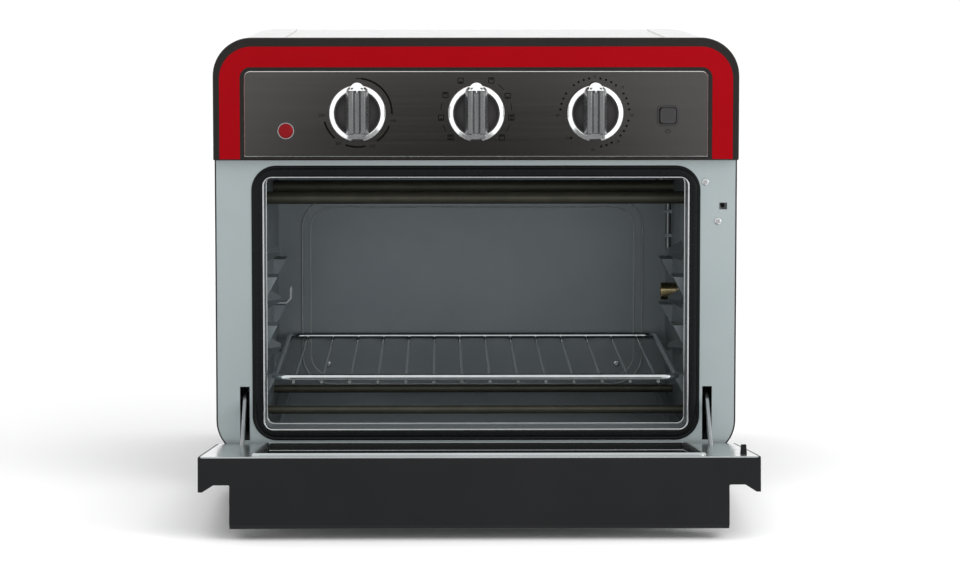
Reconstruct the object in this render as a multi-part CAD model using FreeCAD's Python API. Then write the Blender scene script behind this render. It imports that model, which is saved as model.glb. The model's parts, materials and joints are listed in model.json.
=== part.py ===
"""Toaster oven with its drop-down door open: one STEP file per piece, in millimetres.

+X is to the right as seen by the user, +Y goes from the door to the back, +Z is up.
The origin is on the table plane, under the middle of the whole footprint with the door open.
The door's pieces are drawn closed and then turned open about the hinge axis.
"""

import FreeCAD, Part
import math
import os

V = FreeCAD.Vector

# ---- overall sizes -----------------------------------------------------------------------------
SHELL_W = 399.0  # outer width of the steel wrap
SHELL_TOP = 345.8  # height of the top above the table
BODY_D = 330.0  # front frame to the rear edge of the shell
FEET_H = 26.0  # clear height under the body
CORNER_R = 28.0  # outer corner radius of the wrap
SHEET = 1.0  # thickness of every steel sheet
FIT = 0.2  # gap between two fixed pieces that slot together
FREE = 0.4  # gap between pieces that move past each other
RUNNING = 0.05  # radial gap of a shaft or pin in its hole
FLANGE_D = 12.0  # depth of the turned-in edges of the front frame and rear cover
PRESS = 0.02  # radial gap of a pressed-in shaft or pin
LIP_W = 25.0  # wrap's turned-in lower edges, beyond the corner
VENT_H = 26.0
PAST = 1.0  # how far a cutting tool reaches past what it cuts

# ---- opening, cavity and seal ------------------------------------------------------------------
OPENING_W = 324.0
OPENING_Z0 = 47.7
OPENING_Z1 = 240.8
OPENING_R = 6.0
COLLAR_D = 31.0
COLLAR_PROUD = 0.6
CAVITY_SIDE = 2.5  # cavity beyond the opening: at the sides, below and above
CAVITY_BELOW = 10.2
CAVITY_ABOVE = 5.2
BACK_SPACE = 22.0  # from the cavity's back to the rear edge of the shell
SEAL_SIDE = 9.6  # seal beyond the opening: at the sides, below and above
SEAL_BELOW = 8.8
SEAL_ABOVE = 9.5
SEAL_R = 19.0
SEAL_PROUD = 1.1

# ---- rack, ledges, elements --------------------------------------------------------------------
RACK_SIDE = 4.5  # rack inside the opening on each side
RACK_FRONT = 8.0  # depth of the front rail's centre line
RACK_BACK = 5.0  # rack's rear rail in front of the cavity's back
RACK_Z = 86.7
RACK_ROD_R = 2.5
RACK_WIRE_R = 1.3
RACK_WIRES = 14
RACK_END_WIRE = 17.1  # outermost wires inside the rack's width
TIERS = 3
TIER_PITCH = 38.0
LEDGE_OUT = 10.0
LEDGE_H = 20.0
LEDGE_L = 30.0
LEDGE_DEPTHS = (52.0, 214.0)
HOLD_DEPTH = 92.0
HOLD_L = 34.0
HOLD_H = 17.0
HOLD_GAP = 2.2  # hold-down bump above the rack's rail
UPPER_ELEMENT_R = 5.0
UPPER_ELEMENT_DOWN = 20.4  # upper elements below the opening's top
LOWER_ELEMENT_R = 3.25
LOWER_ELEMENT_UP = 4.9  # lower elements above the opening's bottom
ELEMENT_DEPTHS = (77.0, 211.0)
INSULATOR_R = 7.5
INSULATOR_L = 5.0
TRAY_SIDE = 7.0  # crumb tray inside the opening on each side
TRAY_RIM_H = 5.0
TRAY_LIP_H = 13.0
TRAY_LIP_T = 2.0

# ---- control head ------------------------------------------------------------------------------
HEAD_PROUD = 12.0  # how far the head stands in front of the front frame
HEAD_Z0 = 255.0
HEAD_ABOVE = 2.1  # head above the shell's top
HEAD_OVERHANG = 0.3  # head beyond the shell on each side
HEAD_WALL = 2.6
RED_SIDE = 4.8  # head trim beside and above the red band
RED_DOWN = 6.6
RED_BAND = 15.6
RED_T = 2.4
RED_ABOVE = 0.9  # lower ends of the red band above the head's lower edge
RED_PROUD = 0.2
RED_GAP = 0.05
RED_IN = 3.4  # red band's outer corner inside the wrap's
RED_INNER_IN = 20.0
PANEL_GAP = 2.9  # panel inside the red band on each side
PANEL_DOWN = 24.8  # panel below the head's top
PANEL_UP = 2.3  # panel above the head's lower edge
PANEL_T = 1.6
PANEL_R = 5.0
PANEL_PROUD = 0.5
EDGE_CHAMFER = 0.9  # chamfer round the head's and the panel's face
KNOB_PITCH = 90.0
KNOB_Z = 291.2
KNOB_RING_R = 21.4
KNOB_RING_W = 3.9
KNOB_H = 22.0
KNOB_GAP = 0.6  # knob in front of the panel
KNOB_DISC_H = 7.0
KNOB_RING_H = 4.0
KNOB_GROOVE = 1.6
KNOB_SKIN = 4.0  # front of the grip over the end of the shaft
SHAFT_TAIL = 12.0  # shaft behind the front frame's sheet
GRIP_W = 18.0
GRIP_TOP = 23.6
GRIP_BOTTOM = 16.3
GRIP_ARCH = 6.0
SHAFT_R = 3.0
SHAFT_GAP = 1.0  # radial gap where a shaft passes through the head
BUSHING_R = 4.6
BUSHING_L = 5.0
LENS_X = -144.5
LENS_Z = 277.5
LENS_R = 4.9
LENS_BEZEL_R = 6.45
BUTTON_X = 145.5
BUTTON_Z = 288.9
BUTTON_SIDE = 12.0
BUTTON_BEZEL_W = 16.5
BUTTON_BEZEL_H = 15.7
BUTTON_PROUD = 3.2
BUTTON_HOLE_GAP = 1.0

# ---- door --------------------------------------------------------------------------------------
DOOR_OPEN_DEG = 84.4
HINGE_OUT = 10.5  # hinge axis in front of the front frame
HINGE_Z = 28.5
DOOR_SIDE = 1.0  # door inside the shell's width on each side
DOOR_GAP = 1.5  # closed inner face in front of the front frame
DOOR_BELOW = 6.0  # door below the hinge axis when closed
DOOR_TOP_GAP = 1.6  # closed door below the control head
DOOR_T = 20.0
DOOR_END_T = 25.0
INNER_PANEL_T = 1.0
DOOR_RIM = 1.4  # plastic rim along both ends of the inner panel
WINDOW_LIP_H = 2.0
WINDOW_LIP_W = 3.0
LIP_CLEAR = 0.9  # window lip inside the cavity opening
GLASS_T = 3.0
OUTER_GLASS_T = 3.5
OUTER_GLASS_SIDE = 12.5  # door frame beside the outer glass
OUTER_GLASS_UP = 12.0  # door frame below the outer glass
GLASS_LAP = 3.0  # inner glass beyond the window, held by the frame
FRAME_LAP = 4.0  # door frame inside the window, behind the inner glass
HANDLE_LOW = 1.0  # inner panel and rims below the handle's top face
HANDLE_SIDE = 22.2  # door beside the grip
HANDLE_REACH = 51.0  # inner face of the door to the front of the handle
HANDLE_CAP_H = 18.0
HANDLE_PLATE_T = 5.0
HANDLE_LIP_T = 6.0
HANDLE_LIP_H = 27.0
HANDLE_CHAMFER = 3.5
PIN_R = 2.5
PIN_L = 18.0
EAR_SIDE = 3.0  # hinge ears beside the opening
EAR_T = 3.0
EAR_R = 4.2
SWING = 0.3  # more room for the ears as the door turns
SLOT_SIDE = 15.5  # arm slots beside the opening
SLOT_W = 7.4
SLOT_Z0 = 38.9
SLOT_Z1 = 80.4
ARM_T = 2.5
ARM_H = 8.0
ARM_L = 85.0
ARM_UP = 40.0  # arm pivot above the hinge axis, door closed
ARM_IN = 1.0  # arm pivot behind the hinge axis, door closed
ARM_OPEN_DEG = 34.4  # slope of the arm with the door open
ARM_PIN_R = 2.0
ARM_PIN_L = 10.0
SPRING_R = 4.0
SPRING_ANCHOR_D = 150.0
SPRING_ANCHOR_Z = 72.0
SPRING_EYE_R = 1.6
SPRING_HOOK = 3.5  # spring beyond the arm's end
SPRING_END = 1.0  # spring in front of its anchor
PEG_SIDE = 10.5  # switch peg inside the shell's width
PEG_Z = 219.2
PEG_HOLE_W = 6.0
PLUNGER_R = 1.6
PEG_HOLE_H = 5.2
PEG_L = 7.0
PEG_FOOT_W = 5.8
PEG_FOOT_H = 3.8
PEG_GAP = 0.1  # peg's foot in the inner panel

# ---- inside ------------------------------------------------------------------------------------
SPIT_D = 165.0
SPIT_Z = 138.0
SPIT_HUB_R = 7.0
SPIT_HUB_L = 12.5
SPIT_SHAFT_R = 4.0
SPIT_SOCKET = 8.0
SPIT_SOCKET_L = 9.0
SPIT_HOOK_OUT = 16.8
SPIT_HOOK_DOWN = 9.5
SPIT_HOOK_UP = 4.0
MOTOR_R = 25.0
MOTOR_T = 22.0
LAMP_D = 262.0
LAMP_Z = 222.0
LAMP_R = 17.0
LAMP_OUT = 12.0
BULB_R = 6.0
PROBE_D = 232.0
PROBE_Z0 = 168.0
PROBE_L = 40.0
PROBE_R = 2.2
PROBE_GAP = 0.6  # bulb off the wall
SCREW_R = 2.0
SCREW_HEAD_R = 2.7
SCREW_HEAD_H = 1.1
SCREW_L = 6.0
SCREW_GAP = 0.1  # radial gap of a screw in its hole
FRAME_SCREW_SIDE = 3.8  # upper frame screw beside the seal, and below the opening's top
FRAME_SCREW_DOWN = 3.2
SWITCH_SCREW_SIDE = 3.9  # switch screw beside and below the door switch's hole
SWITCH_SCREW_DOWN = 11.7
REAR_SCREW_IN = 20.0
BACK_SCREW_IN = 41.5
BACK_SCREW_UP = 24.5
FOOT_R = 14.0
FOOT_SIDE = 44.5  # feet inside the shell's width
FOOT_INSET = 32.0
FOOT_TAPER = 2.5
FOOT_SEAT = 8.0  # rubber between the screw's head and the body
GLAND_X = -150.0
GLAND_Z = 62.0
GLAND_BORE_R = 4.5
GLAND_R = 8.0
GLAND_NECK = 2.5  # gland's neck inside its flange

# ---- values worked out from the sizes above ----------------------------------------------------
CAVITY_D = BODY_D - BACK_SPACE
CAVITY_W = OPENING_W + 2 * CAVITY_SIDE
CAVITY_Z0 = OPENING_Z0 - CAVITY_BELOW
CAVITY_Z1 = OPENING_Z1 + CAVITY_ABOVE
SEAL_W = OPENING_W + 2 * SEAL_SIDE
SEAL_Z0 = OPENING_Z0 - SEAL_BELOW
SEAL_Z1 = OPENING_Z1 + SEAL_ABOVE
RACK_W = OPENING_W - 2 * RACK_SIDE
RACK_L = CAVITY_D - RACK_FRONT - RACK_BACK
RACK_WIRE_PITCH = (RACK_W - 2 * RACK_END_WIRE) / (RACK_WIRES - 1)
UPPER_ELEMENT_Z = OPENING_Z1 - UPPER_ELEMENT_DOWN
LOWER_ELEMENT_Z = OPENING_Z0 + LOWER_ELEMENT_UP
TRAY_W = OPENING_W - 2 * TRAY_SIDE
HEAD_Z1 = SHELL_TOP + HEAD_ABOVE
RED_W = SHELL_W + 2 * (HEAD_OVERHANG - RED_SIDE)
RED_Z1 = HEAD_Z1 - RED_DOWN
PANEL_W = RED_W - 2 * (RED_BAND + PANEL_GAP)
PANEL_Z0 = HEAD_Z0 + PANEL_UP
PANEL_Z1 = HEAD_Z1 - PANEL_DOWN
DOOR_W = SHELL_W - 2 * DOOR_SIDE
OUTER_GLASS_W = DOOR_W - 2 * OUTER_GLASS_SIDE
HANDLE_W = DOOR_W - 2 * HANDLE_SIDE
EAR_X = OPENING_W / 2 + EAR_SIDE
SLOT_X = OPENING_W / 2 + SLOT_SIDE
PEG_X = SHELL_W / 2 - PEG_SIDE
FOOT_X = SHELL_W / 2 - FOOT_SIDE
OPEN = math.radians(DOOR_OPEN_DEG)
DOOR_IN = HINGE_OUT - DOOR_GAP  # inner face behind the hinge axis, door closed
DOOR_L = HEAD_Z0 - DOOR_TOP_GAP - HINGE_Z  # door above the hinge axis, door closed
OPEN_REACH = HINGE_OUT + DOOR_L * math.sin(OPEN) + (HANDLE_REACH - DOOR_IN) * math.cos(OPEN)
FRONT = (OPEN_REACH - BODY_D - TRAY_LIP_T) / 2.0  # y of the front frame's outer face
HINGE_Y = FRONT - HINGE_OUT
REAR = FRONT + BODY_D
HALF_SHELL = SHELL_W / 2.0
HALF_FRAME = HALF_SHELL - SHEET - FIT
HALF_CAVITY = CAVITY_W / 2.0
HALF_OPENING = OPENING_W / 2.0
PROBE_X = HALF_CAVITY - PROBE_R - PROBE_GAP
HALF_HEAD = HALF_SHELL + HEAD_OVERHANG
HALF_DOOR = DOOR_W / 2.0
HEAD_FACE = FRONT - HEAD_PROUD
PANEL_FACE = HEAD_FACE - PANEL_PROUD
SCREW_HOLE_R = SCREW_R + SCREW_GAP
LEDGE_TOP = RACK_Z - RACK_ROD_R - 0.3
KNOBS = {"temperature": -KNOB_PITCH, "function": 0.0, "timer": KNOB_PITCH}
PIECES = {}


# ---- helpers -----------------------------------------------------------------------------------
def box(x0, x1, y0, y1, z0, z1):
    return Part.makeBox(x1 - x0, y1 - y0, z1 - z0, V(x0, y0, z0))


def rod_x(x0, x1, y, z, r):
    return Part.makeCylinder(r, x1 - x0, V(x0, y, z), V(1, 0, 0))


def rod_y(x, y0, y1, z, r):
    return Part.makeCylinder(r, y1 - y0, V(x, y0, z), V(0, 1, 0))


def rod_z(x, y, z0, z1, r):
    return Part.makeCylinder(r, z1 - z0, V(x, y, z0), V(0, 0, 1))


def rounded_wire(a0, a1, b0, b1, r_low, r_high, place):
    """A rectangle with round corners: place(a, b) gives each point in space."""
    s = math.sqrt(0.5)
    corners = (
        (a1, b0, -1, 1, r_low),
        (a1, b1, -1, -1, r_high),
        (a0, b1, 1, -1, r_high),
        (a0, b0, 1, 1, r_low),
    )
    edges = []
    ends = []
    for i, (a, b, sa, sb, r) in enumerate(corners):
        along_b_first = i % 2 == 0
        near_a = place(a + sa * r, b)
        near_b = place(a, b + sb * r)
        start, end = (near_a, near_b) if along_b_first else (near_b, near_a)
        ends.append((start, end))
        if r > 0:
            middle = place(a + sa * r * (1 - s), b + sb * r * (1 - s))
            edges.append(Part.Arc(start, middle, end).toShape())
    for i in range(4):
        edges.append(Part.LineSegment(ends[i][1], ends[(i + 1) % 4][0]).toShape())
    return Part.Wire(Part.__sortEdges__(edges))


def plate_y(x0, x1, z0, z1, y0, y1, r_low=0.0, r_high=None):
    """A plate that faces the front, from y0 to y1."""
    r_high = r_low if r_high is None else r_high
    wire = rounded_wire(x0, x1, z0, z1, r_low, r_high, lambda a, b: V(a, y0, b))
    return Part.Face(wire).extrude(V(0, y1 - y0, 0))


def ring_y(x0, x1, z0, z1, y0, y1, r, wall):
    """A rectangular ring that faces the front, its wall measured inwards."""
    outer = plate_y(x0, x1, z0, z1, y0, y1, r)
    inner_r = max(r - wall, 0.0)
    inner = plate_y(x0 + wall, x1 - wall, z0 + wall, z1 - wall, y0 - 1, y1 + 1, inner_r)
    return outer.cut(inner)


def prism_y(points, y0, y1):
    """A front outline, given as (x, z) points, drawn out along Y."""
    corners = [V(x, y0, z) for x, z in points]
    return Part.Face(Part.makePolygon(corners + corners[:1])).extrude(V(0, y1 - y0, 0))


def mirrored(shape):
    return shape.mirror(V(0, 0, 0), V(1, 0, 0))


def pair(shape):
    """The piece and its mirror image on the other side."""
    return [shape, mirrored(shape)]


def joined(first, *others):
    return first.fuse(list(others)).removeSplitter()


def put(name, *solids):
    """Keeps a piece, or a group of equal pieces, under its node name."""
    PIECES[name] = solids[0] if len(solids) == 1 else Part.Compound(list(solids))


def opened(shape):
    """Turns a door piece from closed to open about the hinge axis."""
    turned = shape.copy()
    turned.rotate(V(0, HINGE_Y, HINGE_Z), V(1, 0, 0), DOOR_OPEN_DEG)
    return turned


def screw_y(x, y_face, z, outward=-1):
    """A pan-head screw along Y whose head sits on y_face and stands out along outward."""
    head_y = min(y_face, y_face + outward * SCREW_HEAD_H)
    head = rod_y(x, head_y, head_y + SCREW_HEAD_H, z, SCREW_HEAD_R)
    tail_y = min(y_face, y_face - outward * SCREW_L)
    return joined(head, rod_y(x, tail_y, tail_y + SCREW_L, z, SCREW_R))


# ---- casing ------------------------------------------------------------------------------------
def make_shell():
    outer = plate_y(-HALF_SHELL, HALF_SHELL, FEET_H, SHELL_TOP, FRONT, REAR, CORNER_R)
    shell = outer.cut(
        plate_y(
            -HALF_SHELL + SHEET,
            HALF_SHELL - SHEET,
            FEET_H + SHEET,
            SHELL_TOP - SHEET,
            FRONT - PAST,
            REAR + PAST,
            CORNER_R - SHEET,
        )
    )
    lip = HALF_SHELL - CORNER_R - LIP_W
    shell = shell.cut(box(-lip, lip, FRONT - PAST, REAR + PAST, FEET_H - PAST, FEET_H + SHEET + PAST))
    bead_w, bead_in, bead_end = 21.0, 36.0, 24.0
    bead_x = HALF_SHELL - bead_in
    for side in (-1, 1):
        middle = side * (bead_x - bead_w / 4)
        bead = box(
            middle - bead_w / 2,
            middle + bead_w / 2,
            FRONT + bead_end,
            REAR - bead_end,
            SHELL_TOP - SHEET,
            SHELL_TOP,
        )
        bead.translate(V(0, 0, SHEET))
        shell = shell.fuse(bead)
    vents = []
    vent_count, vent_pitch, vent_w, vent_in = 9, 9.0, 3.0, 34.0
    low_row = HEAD_Z0 + 8.0
    row_gap = 10.0
    wide = HALF_SHELL + PAST
    for row_z in (low_row, low_row + VENT_H + row_gap):
        for i in range(vent_count):
            y = REAR - vent_in - i * vent_pitch
            vents.append(box(-wide, wide, y - vent_w, y, row_z, row_z + VENT_H))
    put("outer_shell", shell.cut(vents).removeSplitter())


def make_base():
    pan_x = HALF_SHELL - CORNER_R
    y0 = FRONT + FLANGE_D + 2 * FIT
    y1 = REAR - FLANGE_D - SHEET - 3 * FIT
    z0 = FEET_H + SHEET
    pan = box(-pan_x, pan_x, y0, y1, z0, z0 + SHEET)
    slots = []
    slot_count, slot_pitch, slot_l, slot_w, slot_in = 11, 16.0, 60.0, 4.0, 60.0
    for row_y in (y0 + slot_in, y1 - slot_in - slot_l):
        for i in range(slot_count):
            x = (i - slot_count / 2) * slot_pitch + (slot_pitch - slot_w) / 2
            slots.append(box(x, x + slot_w, row_y, row_y + slot_l, z0 - PAST, z0 + SHEET + PAST))
    put("base_pan", pan.cut(slots + foot_screw_holes(z0)))
    shell_holes = foot_screw_holes(FEET_H)
    PIECES["outer_shell"] = PIECES["outer_shell"].cut(shell_holes)


def foot_places():
    rows = (FRONT + FOOT_INSET, REAR - FOOT_INSET)
    return [(x, y) for x in (-FOOT_X, FOOT_X) for y in rows]


def foot_screw_holes(z0, thick=SHEET):
    """Holes for the feet's screws through a sheet whose underside is at z0."""
    return [rod_z(x, y, z0 - PAST, z0 + thick + PAST, SCREW_HOLE_R) for x, y in foot_places()]


def make_feet():
    feet = []
    for x, y in foot_places():
        foot = Part.makeCone(FOOT_R - FOOT_TAPER, FOOT_R, FEET_H, V(x, y, 0), V(0, 0, 1))
        recess = rod_z(x, y, -PAST, FEET_H - FOOT_SEAT, SCREW_HEAD_R + 1.5)
        feet.append(foot.cut([recess, rod_z(x, y, -PAST, FEET_H + PAST, SCREW_HOLE_R)]))
    put("feet", *feet)


def frame_screw_places():
    beside_seal = (SEAL_W / 2 + FRAME_SCREW_SIDE, OPENING_Z1 - FRAME_SCREW_DOWN)
    beside_peg = (PEG_X - SWITCH_SCREW_SIDE, PEG_Z - SWITCH_SCREW_DOWN)
    return beside_seal, beside_peg


def rear_screw_places():
    x = HALF_SHELL - REAR_SCREW_IN
    z0 = FEET_H + REAR_SCREW_IN
    z1 = SHELL_TOP - REAR_SCREW_IN
    return [(s * x, z) for s in (-1, 1) for z in (z0, (z0 + z1) / 2, z1)]


def back_wall_screw_places():
    x = HALF_CAVITY - BACK_SCREW_IN
    z = CAVITY_Z0 + BACK_SCREW_UP
    return [(-x, z), (x, z)]


def make_case_screws():
    screws = [screw_y(x, FRONT, z) for x, z in frame_screw_places()]
    screws += [screw_y(x, REAR - FIT, z, 1) for x, z in rear_screw_places()]
    screws += [screw_y(x, FRONT + CAVITY_D, z) for x, z in back_wall_screw_places()]
    seat = FEET_H - FOOT_SEAT
    for x, y in foot_places():
        head = rod_z(x, y, seat - SCREW_HEAD_H, seat, SCREW_HEAD_R)
        screws.append(joined(head, rod_z(x, y, seat, FEET_H + FOOT_SEAT, SCREW_R)))
    put("case_screws", *screws)


def make_front_frame():
    z0 = FEET_H + SHEET + FIT
    z1 = SHELL_TOP - SHEET - FIT
    r = CORNER_R - SHEET - FIT
    frame = plate_y(-HALF_FRAME, HALF_FRAME, z0, z1, FRONT, FRONT + SHEET, r)
    flange = ring_y(-HALF_FRAME, HALF_FRAME, z0, z1, FRONT, FRONT + FLANGE_D, r, SHEET)
    frame = joined(frame, flange)
    collar_gap = SHEET + FIT
    cuts = [
        plate_y(
            -HALF_OPENING - collar_gap,
            HALF_OPENING + collar_gap,
            OPENING_Z0 - collar_gap,
            OPENING_Z1 + collar_gap,
            FRONT - PAST,
            FRONT + SHEET + PAST,
            OPENING_R + collar_gap,
        )
    ]
    near = FRONT - PAST
    deep = FRONT + SHEET + PAST
    for s in (-1, 1):
        cuts.append(
            box(s * SLOT_X - SLOT_W / 2, s * SLOT_X + SLOT_W / 2, near, deep, SLOT_Z0, SLOT_Z1)
        )
        ear = EAR_T / 2 + FREE
        cuts.append(
            box(
                s * EAR_X - ear,
                s * EAR_X + ear,
                near,
                FRONT + FLANGE_D + PAST,
                z0 - PAST,
                HINGE_Z + EAR_R + FREE,
            )
        )
    cuts.append(
        box(
            PEG_X - PEG_HOLE_W / 2,
            PEG_X + PEG_HOLE_W / 2,
            near,
            deep,
            PEG_Z - PEG_HOLE_H / 2,
            PEG_Z + PEG_HOLE_H / 2,
        )
    )
    for x, z in frame_screw_places():
        cuts.append(rod_y(x, near, deep, z, SCREW_HOLE_R))
    for x in KNOBS.values():
        cuts.append(rod_y(x, near, deep, KNOB_Z, BUSHING_R + FIT))
    cuts.append(rod_y(LENS_X, near, deep, LENS_Z, LENS_R + FIT))
    half = BUTTON_SIDE / 2 + BUTTON_HOLE_GAP + FIT
    cuts.append(box(BUTTON_X - half, BUTTON_X + half, near, deep, BUTTON_Z - half, BUTTON_Z + half))
    put("front_frame", frame.cut(cuts))


def tray_slot(y0, y1, clear):
    z0 = CAVITY_Z0 + FREE - clear
    z1 = CAVITY_Z0 + FREE + TRAY_RIM_H + clear
    return box(-TRAY_W / 2 - clear, TRAY_W / 2 + clear, y0, y1, z0, z1)


def make_rear_cover():
    z0 = FEET_H + SHEET + FIT
    z1 = SHELL_TOP - SHEET - FIT
    r = CORNER_R - SHEET - FIT
    y1 = REAR - FIT
    y0 = y1 - SHEET
    cover = plate_y(-HALF_FRAME, HALF_FRAME, z0, z1, y0, y1, r)
    flange = ring_y(-HALF_FRAME, HALF_FRAME, z0, z1, y1 - FLANGE_D, y1, r, SHEET)
    cover = joined(cover, flange)
    near, far = y0 - PAST, y1 + PAST
    cuts = [tray_slot(near, far, FREE)]
    cuts.append(rod_y(GLAND_X, near, far, GLAND_Z, GLAND_R - GLAND_NECK))
    for x, z in rear_screw_places():
        cuts.append(rod_y(x, near, far, z, SCREW_HOLE_R))
    slot_count, slot_pitch, slot_w, slot_h = 25, 11.0, 4.0, 22.0
    upper_row, lower_row, row_pitch = HEAD_Z0 + 2.0, FEET_H + 94.0, 34.0
    for row_z in (upper_row, upper_row + row_pitch, lower_row, lower_row + row_pitch):
        for i in range(slot_count):
            x = (i - slot_count / 2) * slot_pitch + (slot_pitch - slot_w) / 2
            cuts.append(box(x, x + slot_w, near, far, row_z, row_z + slot_h))
    put("rear_cover", cover.cut(cuts))


def make_gland():
    y1 = REAR - FIT
    flange_t, snap_t, snap_gap = 2.0, 5.0, 0.1
    outer = rod_y(GLAND_X, y1, y1 + flange_t, GLAND_Z, GLAND_R)
    neck = rod_y(GLAND_X, y1 - SHEET - snap_t / 2, y1, GLAND_Z, GLAND_R - GLAND_NECK - snap_gap)
    inner = rod_y(GLAND_X, y1 - SHEET - snap_t, y1 - SHEET - snap_gap, GLAND_Z, GLAND_R)
    bore = rod_y(GLAND_X, y1 - SHEET - snap_t - PAST, y1 + flange_t + PAST, GLAND_Z, GLAND_BORE_R)
    put("cord_gland", joined(outer, neck, inner).cut(bore))


def make_terminal_block():
    side, height, from_back, off_floor, off_wall = 24.0, 12.0, 50.0, 60.0, 8.0
    x0 = -HALF_SHELL + off_wall
    y0 = FRONT + CAVITY_D + SHEET - from_back
    z0 = FEET_H + 2 * SHEET + off_floor
    block = box(x0, x0 + side, y0, y0 + side, z0, z0 + height)
    well_r, well_deep = 2.2, 4.0
    top = z0 + height
    screws = [
        rod_z(x0 + side * i / 4, y0 + side / 2, top - well_deep, top + PAST, well_r) for i in (1, 2, 3)
    ]
    put("terminal_block", block.cut(screws))


# ---- control head ------------------------------------------------------------------------------
def head_outline(y0, y1, inset):
    r_top = CORNER_R + 1.0 - inset
    return plate_y(
        -HALF_HEAD + inset, HALF_HEAD - inset, HEAD_Z0 + inset, HEAD_Z1 - inset, y0, y1, 1.0, r_top
    )


def make_housing():
    housing = head_outline(HEAD_FACE, FRONT, 0.0)
    edges = [
        e
        for e in housing.Edges
        if abs(e.BoundBox.YMin - HEAD_FACE) < 0.01
        and abs(e.BoundBox.YMax - HEAD_FACE) < 0.01
        and e.BoundBox.ZMax > HEAD_Z0 + 5
    ]
    housing = housing.makeChamfer(EDGE_CHAMFER, edges)
    floor = max(RED_T, PANEL_T) + HEAD_WALL
    hollow = plate_y(
        -HALF_HEAD + HEAD_WALL,
        HALF_HEAD - HEAD_WALL,
        HEAD_Z0 + HEAD_WALL,
        HEAD_Z1 - HEAD_WALL - (HEAD_Z1 - SHELL_TOP),
        HEAD_FACE + floor,
        FRONT + PAST,
        0.5,
        CORNER_R - HEAD_WALL,
    )
    cuts = [hollow, red_outline(HEAD_FACE - PAST, HEAD_FACE + RED_T, -RED_GAP)]
    half = PANEL_W / 2 + FIT / 2
    cuts.append(
        plate_y(
            -half,
            half,
            PANEL_Z0 - FIT / 2,
            PANEL_Z1 + FIT / 2,
            HEAD_FACE - PAST,
            HEAD_FACE + PANEL_T,
            1.0,
            PANEL_R,
        )
    )
    cuts += control_holes(HEAD_FACE - PAST, FRONT + PAST)
    put("control_housing", housing.cut(cuts))


def red_outline(y0, y1, inset):
    """The red band: over the top and down both sides of the panel."""
    half = RED_W / 2 - inset
    z_low = HEAD_Z0 + RED_ABOVE + inset
    low_r = 0.3
    outer = plate_y(-half, half, z_low, RED_Z1 - inset, y0, y1, low_r, CORNER_R - RED_IN - inset)
    band = RED_BAND - 2 * inset
    inner = plate_y(
        -half + band,
        half - band,
        z_low - band,
        RED_Z1 - inset - band,
        y0 - PAST,
        y1 + PAST,
        low_r,
        CORNER_R - RED_INNER_IN,
    )
    return outer.cut(inner)


def control_holes(y0, y1):
    half = BUTTON_SIDE / 2 + BUTTON_HOLE_GAP
    holes = [rod_y(x, y0, y1, KNOB_Z, SHAFT_R + SHAFT_GAP) for x in KNOBS.values()]
    holes.append(rod_y(LENS_X, y0, y1, LENS_Z, LENS_R))
    holes.append(box(BUTTON_X - half, BUTTON_X + half, y0, y1, BUTTON_Z - half, BUTTON_Z + half))
    return holes


def make_red_band():
    put("red_band", red_outline(HEAD_FACE - RED_PROUD, HEAD_FACE + RED_T, 0.0))


def make_panel():
    face = PANEL_FACE
    panel = plate_y(
        -PANEL_W / 2, PANEL_W / 2, PANEL_Z0, PANEL_Z1, face, HEAD_FACE + PANEL_T, 1.0, PANEL_R
    )
    edges = [
        e for e in panel.Edges if abs(e.BoundBox.YMin - face) < 0.01 and abs(e.BoundBox.YMax - face) < 0.01
    ]
    panel = panel.makeChamfer(EDGE_CHAMFER, edges)
    put("control_panel", panel.cut(control_holes(face - PAST, FRONT)))


def make_knob(name, x):
    """One control: knob body with its grip bar, bright ring, and the shaft it sits on."""
    back = PANEL_FACE - KNOB_GAP
    disc_y = back - KNOB_DISC_H
    hub_y = disc_y - KNOB_RING_H
    grip_y = PANEL_FACE - KNOB_H
    ring_gap, ring_lap = 0.1, 0.6
    disc = rod_y(x, disc_y, back, KNOB_Z, KNOB_RING_R - ring_lap)
    hub = rod_y(x, hub_y, disc_y, KNOB_Z, KNOB_RING_R - KNOB_RING_W - ring_gap)
    knob = joined(disc, hub, grip_bar(x, grip_y, hub_y))
    bore = rod_y(x, grip_y + KNOB_SKIN, back + PAST, KNOB_Z, SHAFT_R + PRESS)
    put(name + "_knob", knob.cut([grip_groove(x, grip_y), bore]))
    ring_y0 = hub_y + ring_gap
    ring = rod_y(x, ring_y0, disc_y - ring_gap, KNOB_Z, KNOB_RING_R)
    front_edges = [e for e in ring.Edges if abs(e.BoundBox.YMax - ring_y0) < 0.01]
    ring = ring.makeFillet(KNOB_RING_H * 0.35, front_edges)
    put(name + "_knob_ring", ring.cut(rod_y(x, hub_y - PAST, back, KNOB_Z, KNOB_RING_R - KNOB_RING_W)))
    shaft_gap = 0.5
    shaft_end = FRONT + SHEET + SHAFT_TAIL
    put(name + "_shaft", rod_y(x, grip_y + KNOB_SKIN + shaft_gap, shaft_end, KNOB_Z, SHAFT_R))


def grip_bar(x, y0, y1):
    """The upright bar of a knob, square at the bottom and arched at the top."""
    half = GRIP_W / 2
    top = KNOB_Z + GRIP_TOP
    low = KNOB_Z - GRIP_BOTTOM
    arch = top - GRIP_ARCH
    profile = [
        Part.LineSegment(V(x - half, y0, low), V(x + half, y0, low)).toShape(),
        Part.LineSegment(V(x + half, y0, low), V(x + half, y0, arch)).toShape(),
        Part.Arc(V(x + half, y0, arch), V(x, y0, top), V(x - half, y0, arch)).toShape(),
        Part.LineSegment(V(x - half, y0, arch), V(x - half, y0, low)).toShape(),
    ]
    return Part.Face(Part.Wire(profile)).extrude(V(0, y1 - y0, 0))


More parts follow.
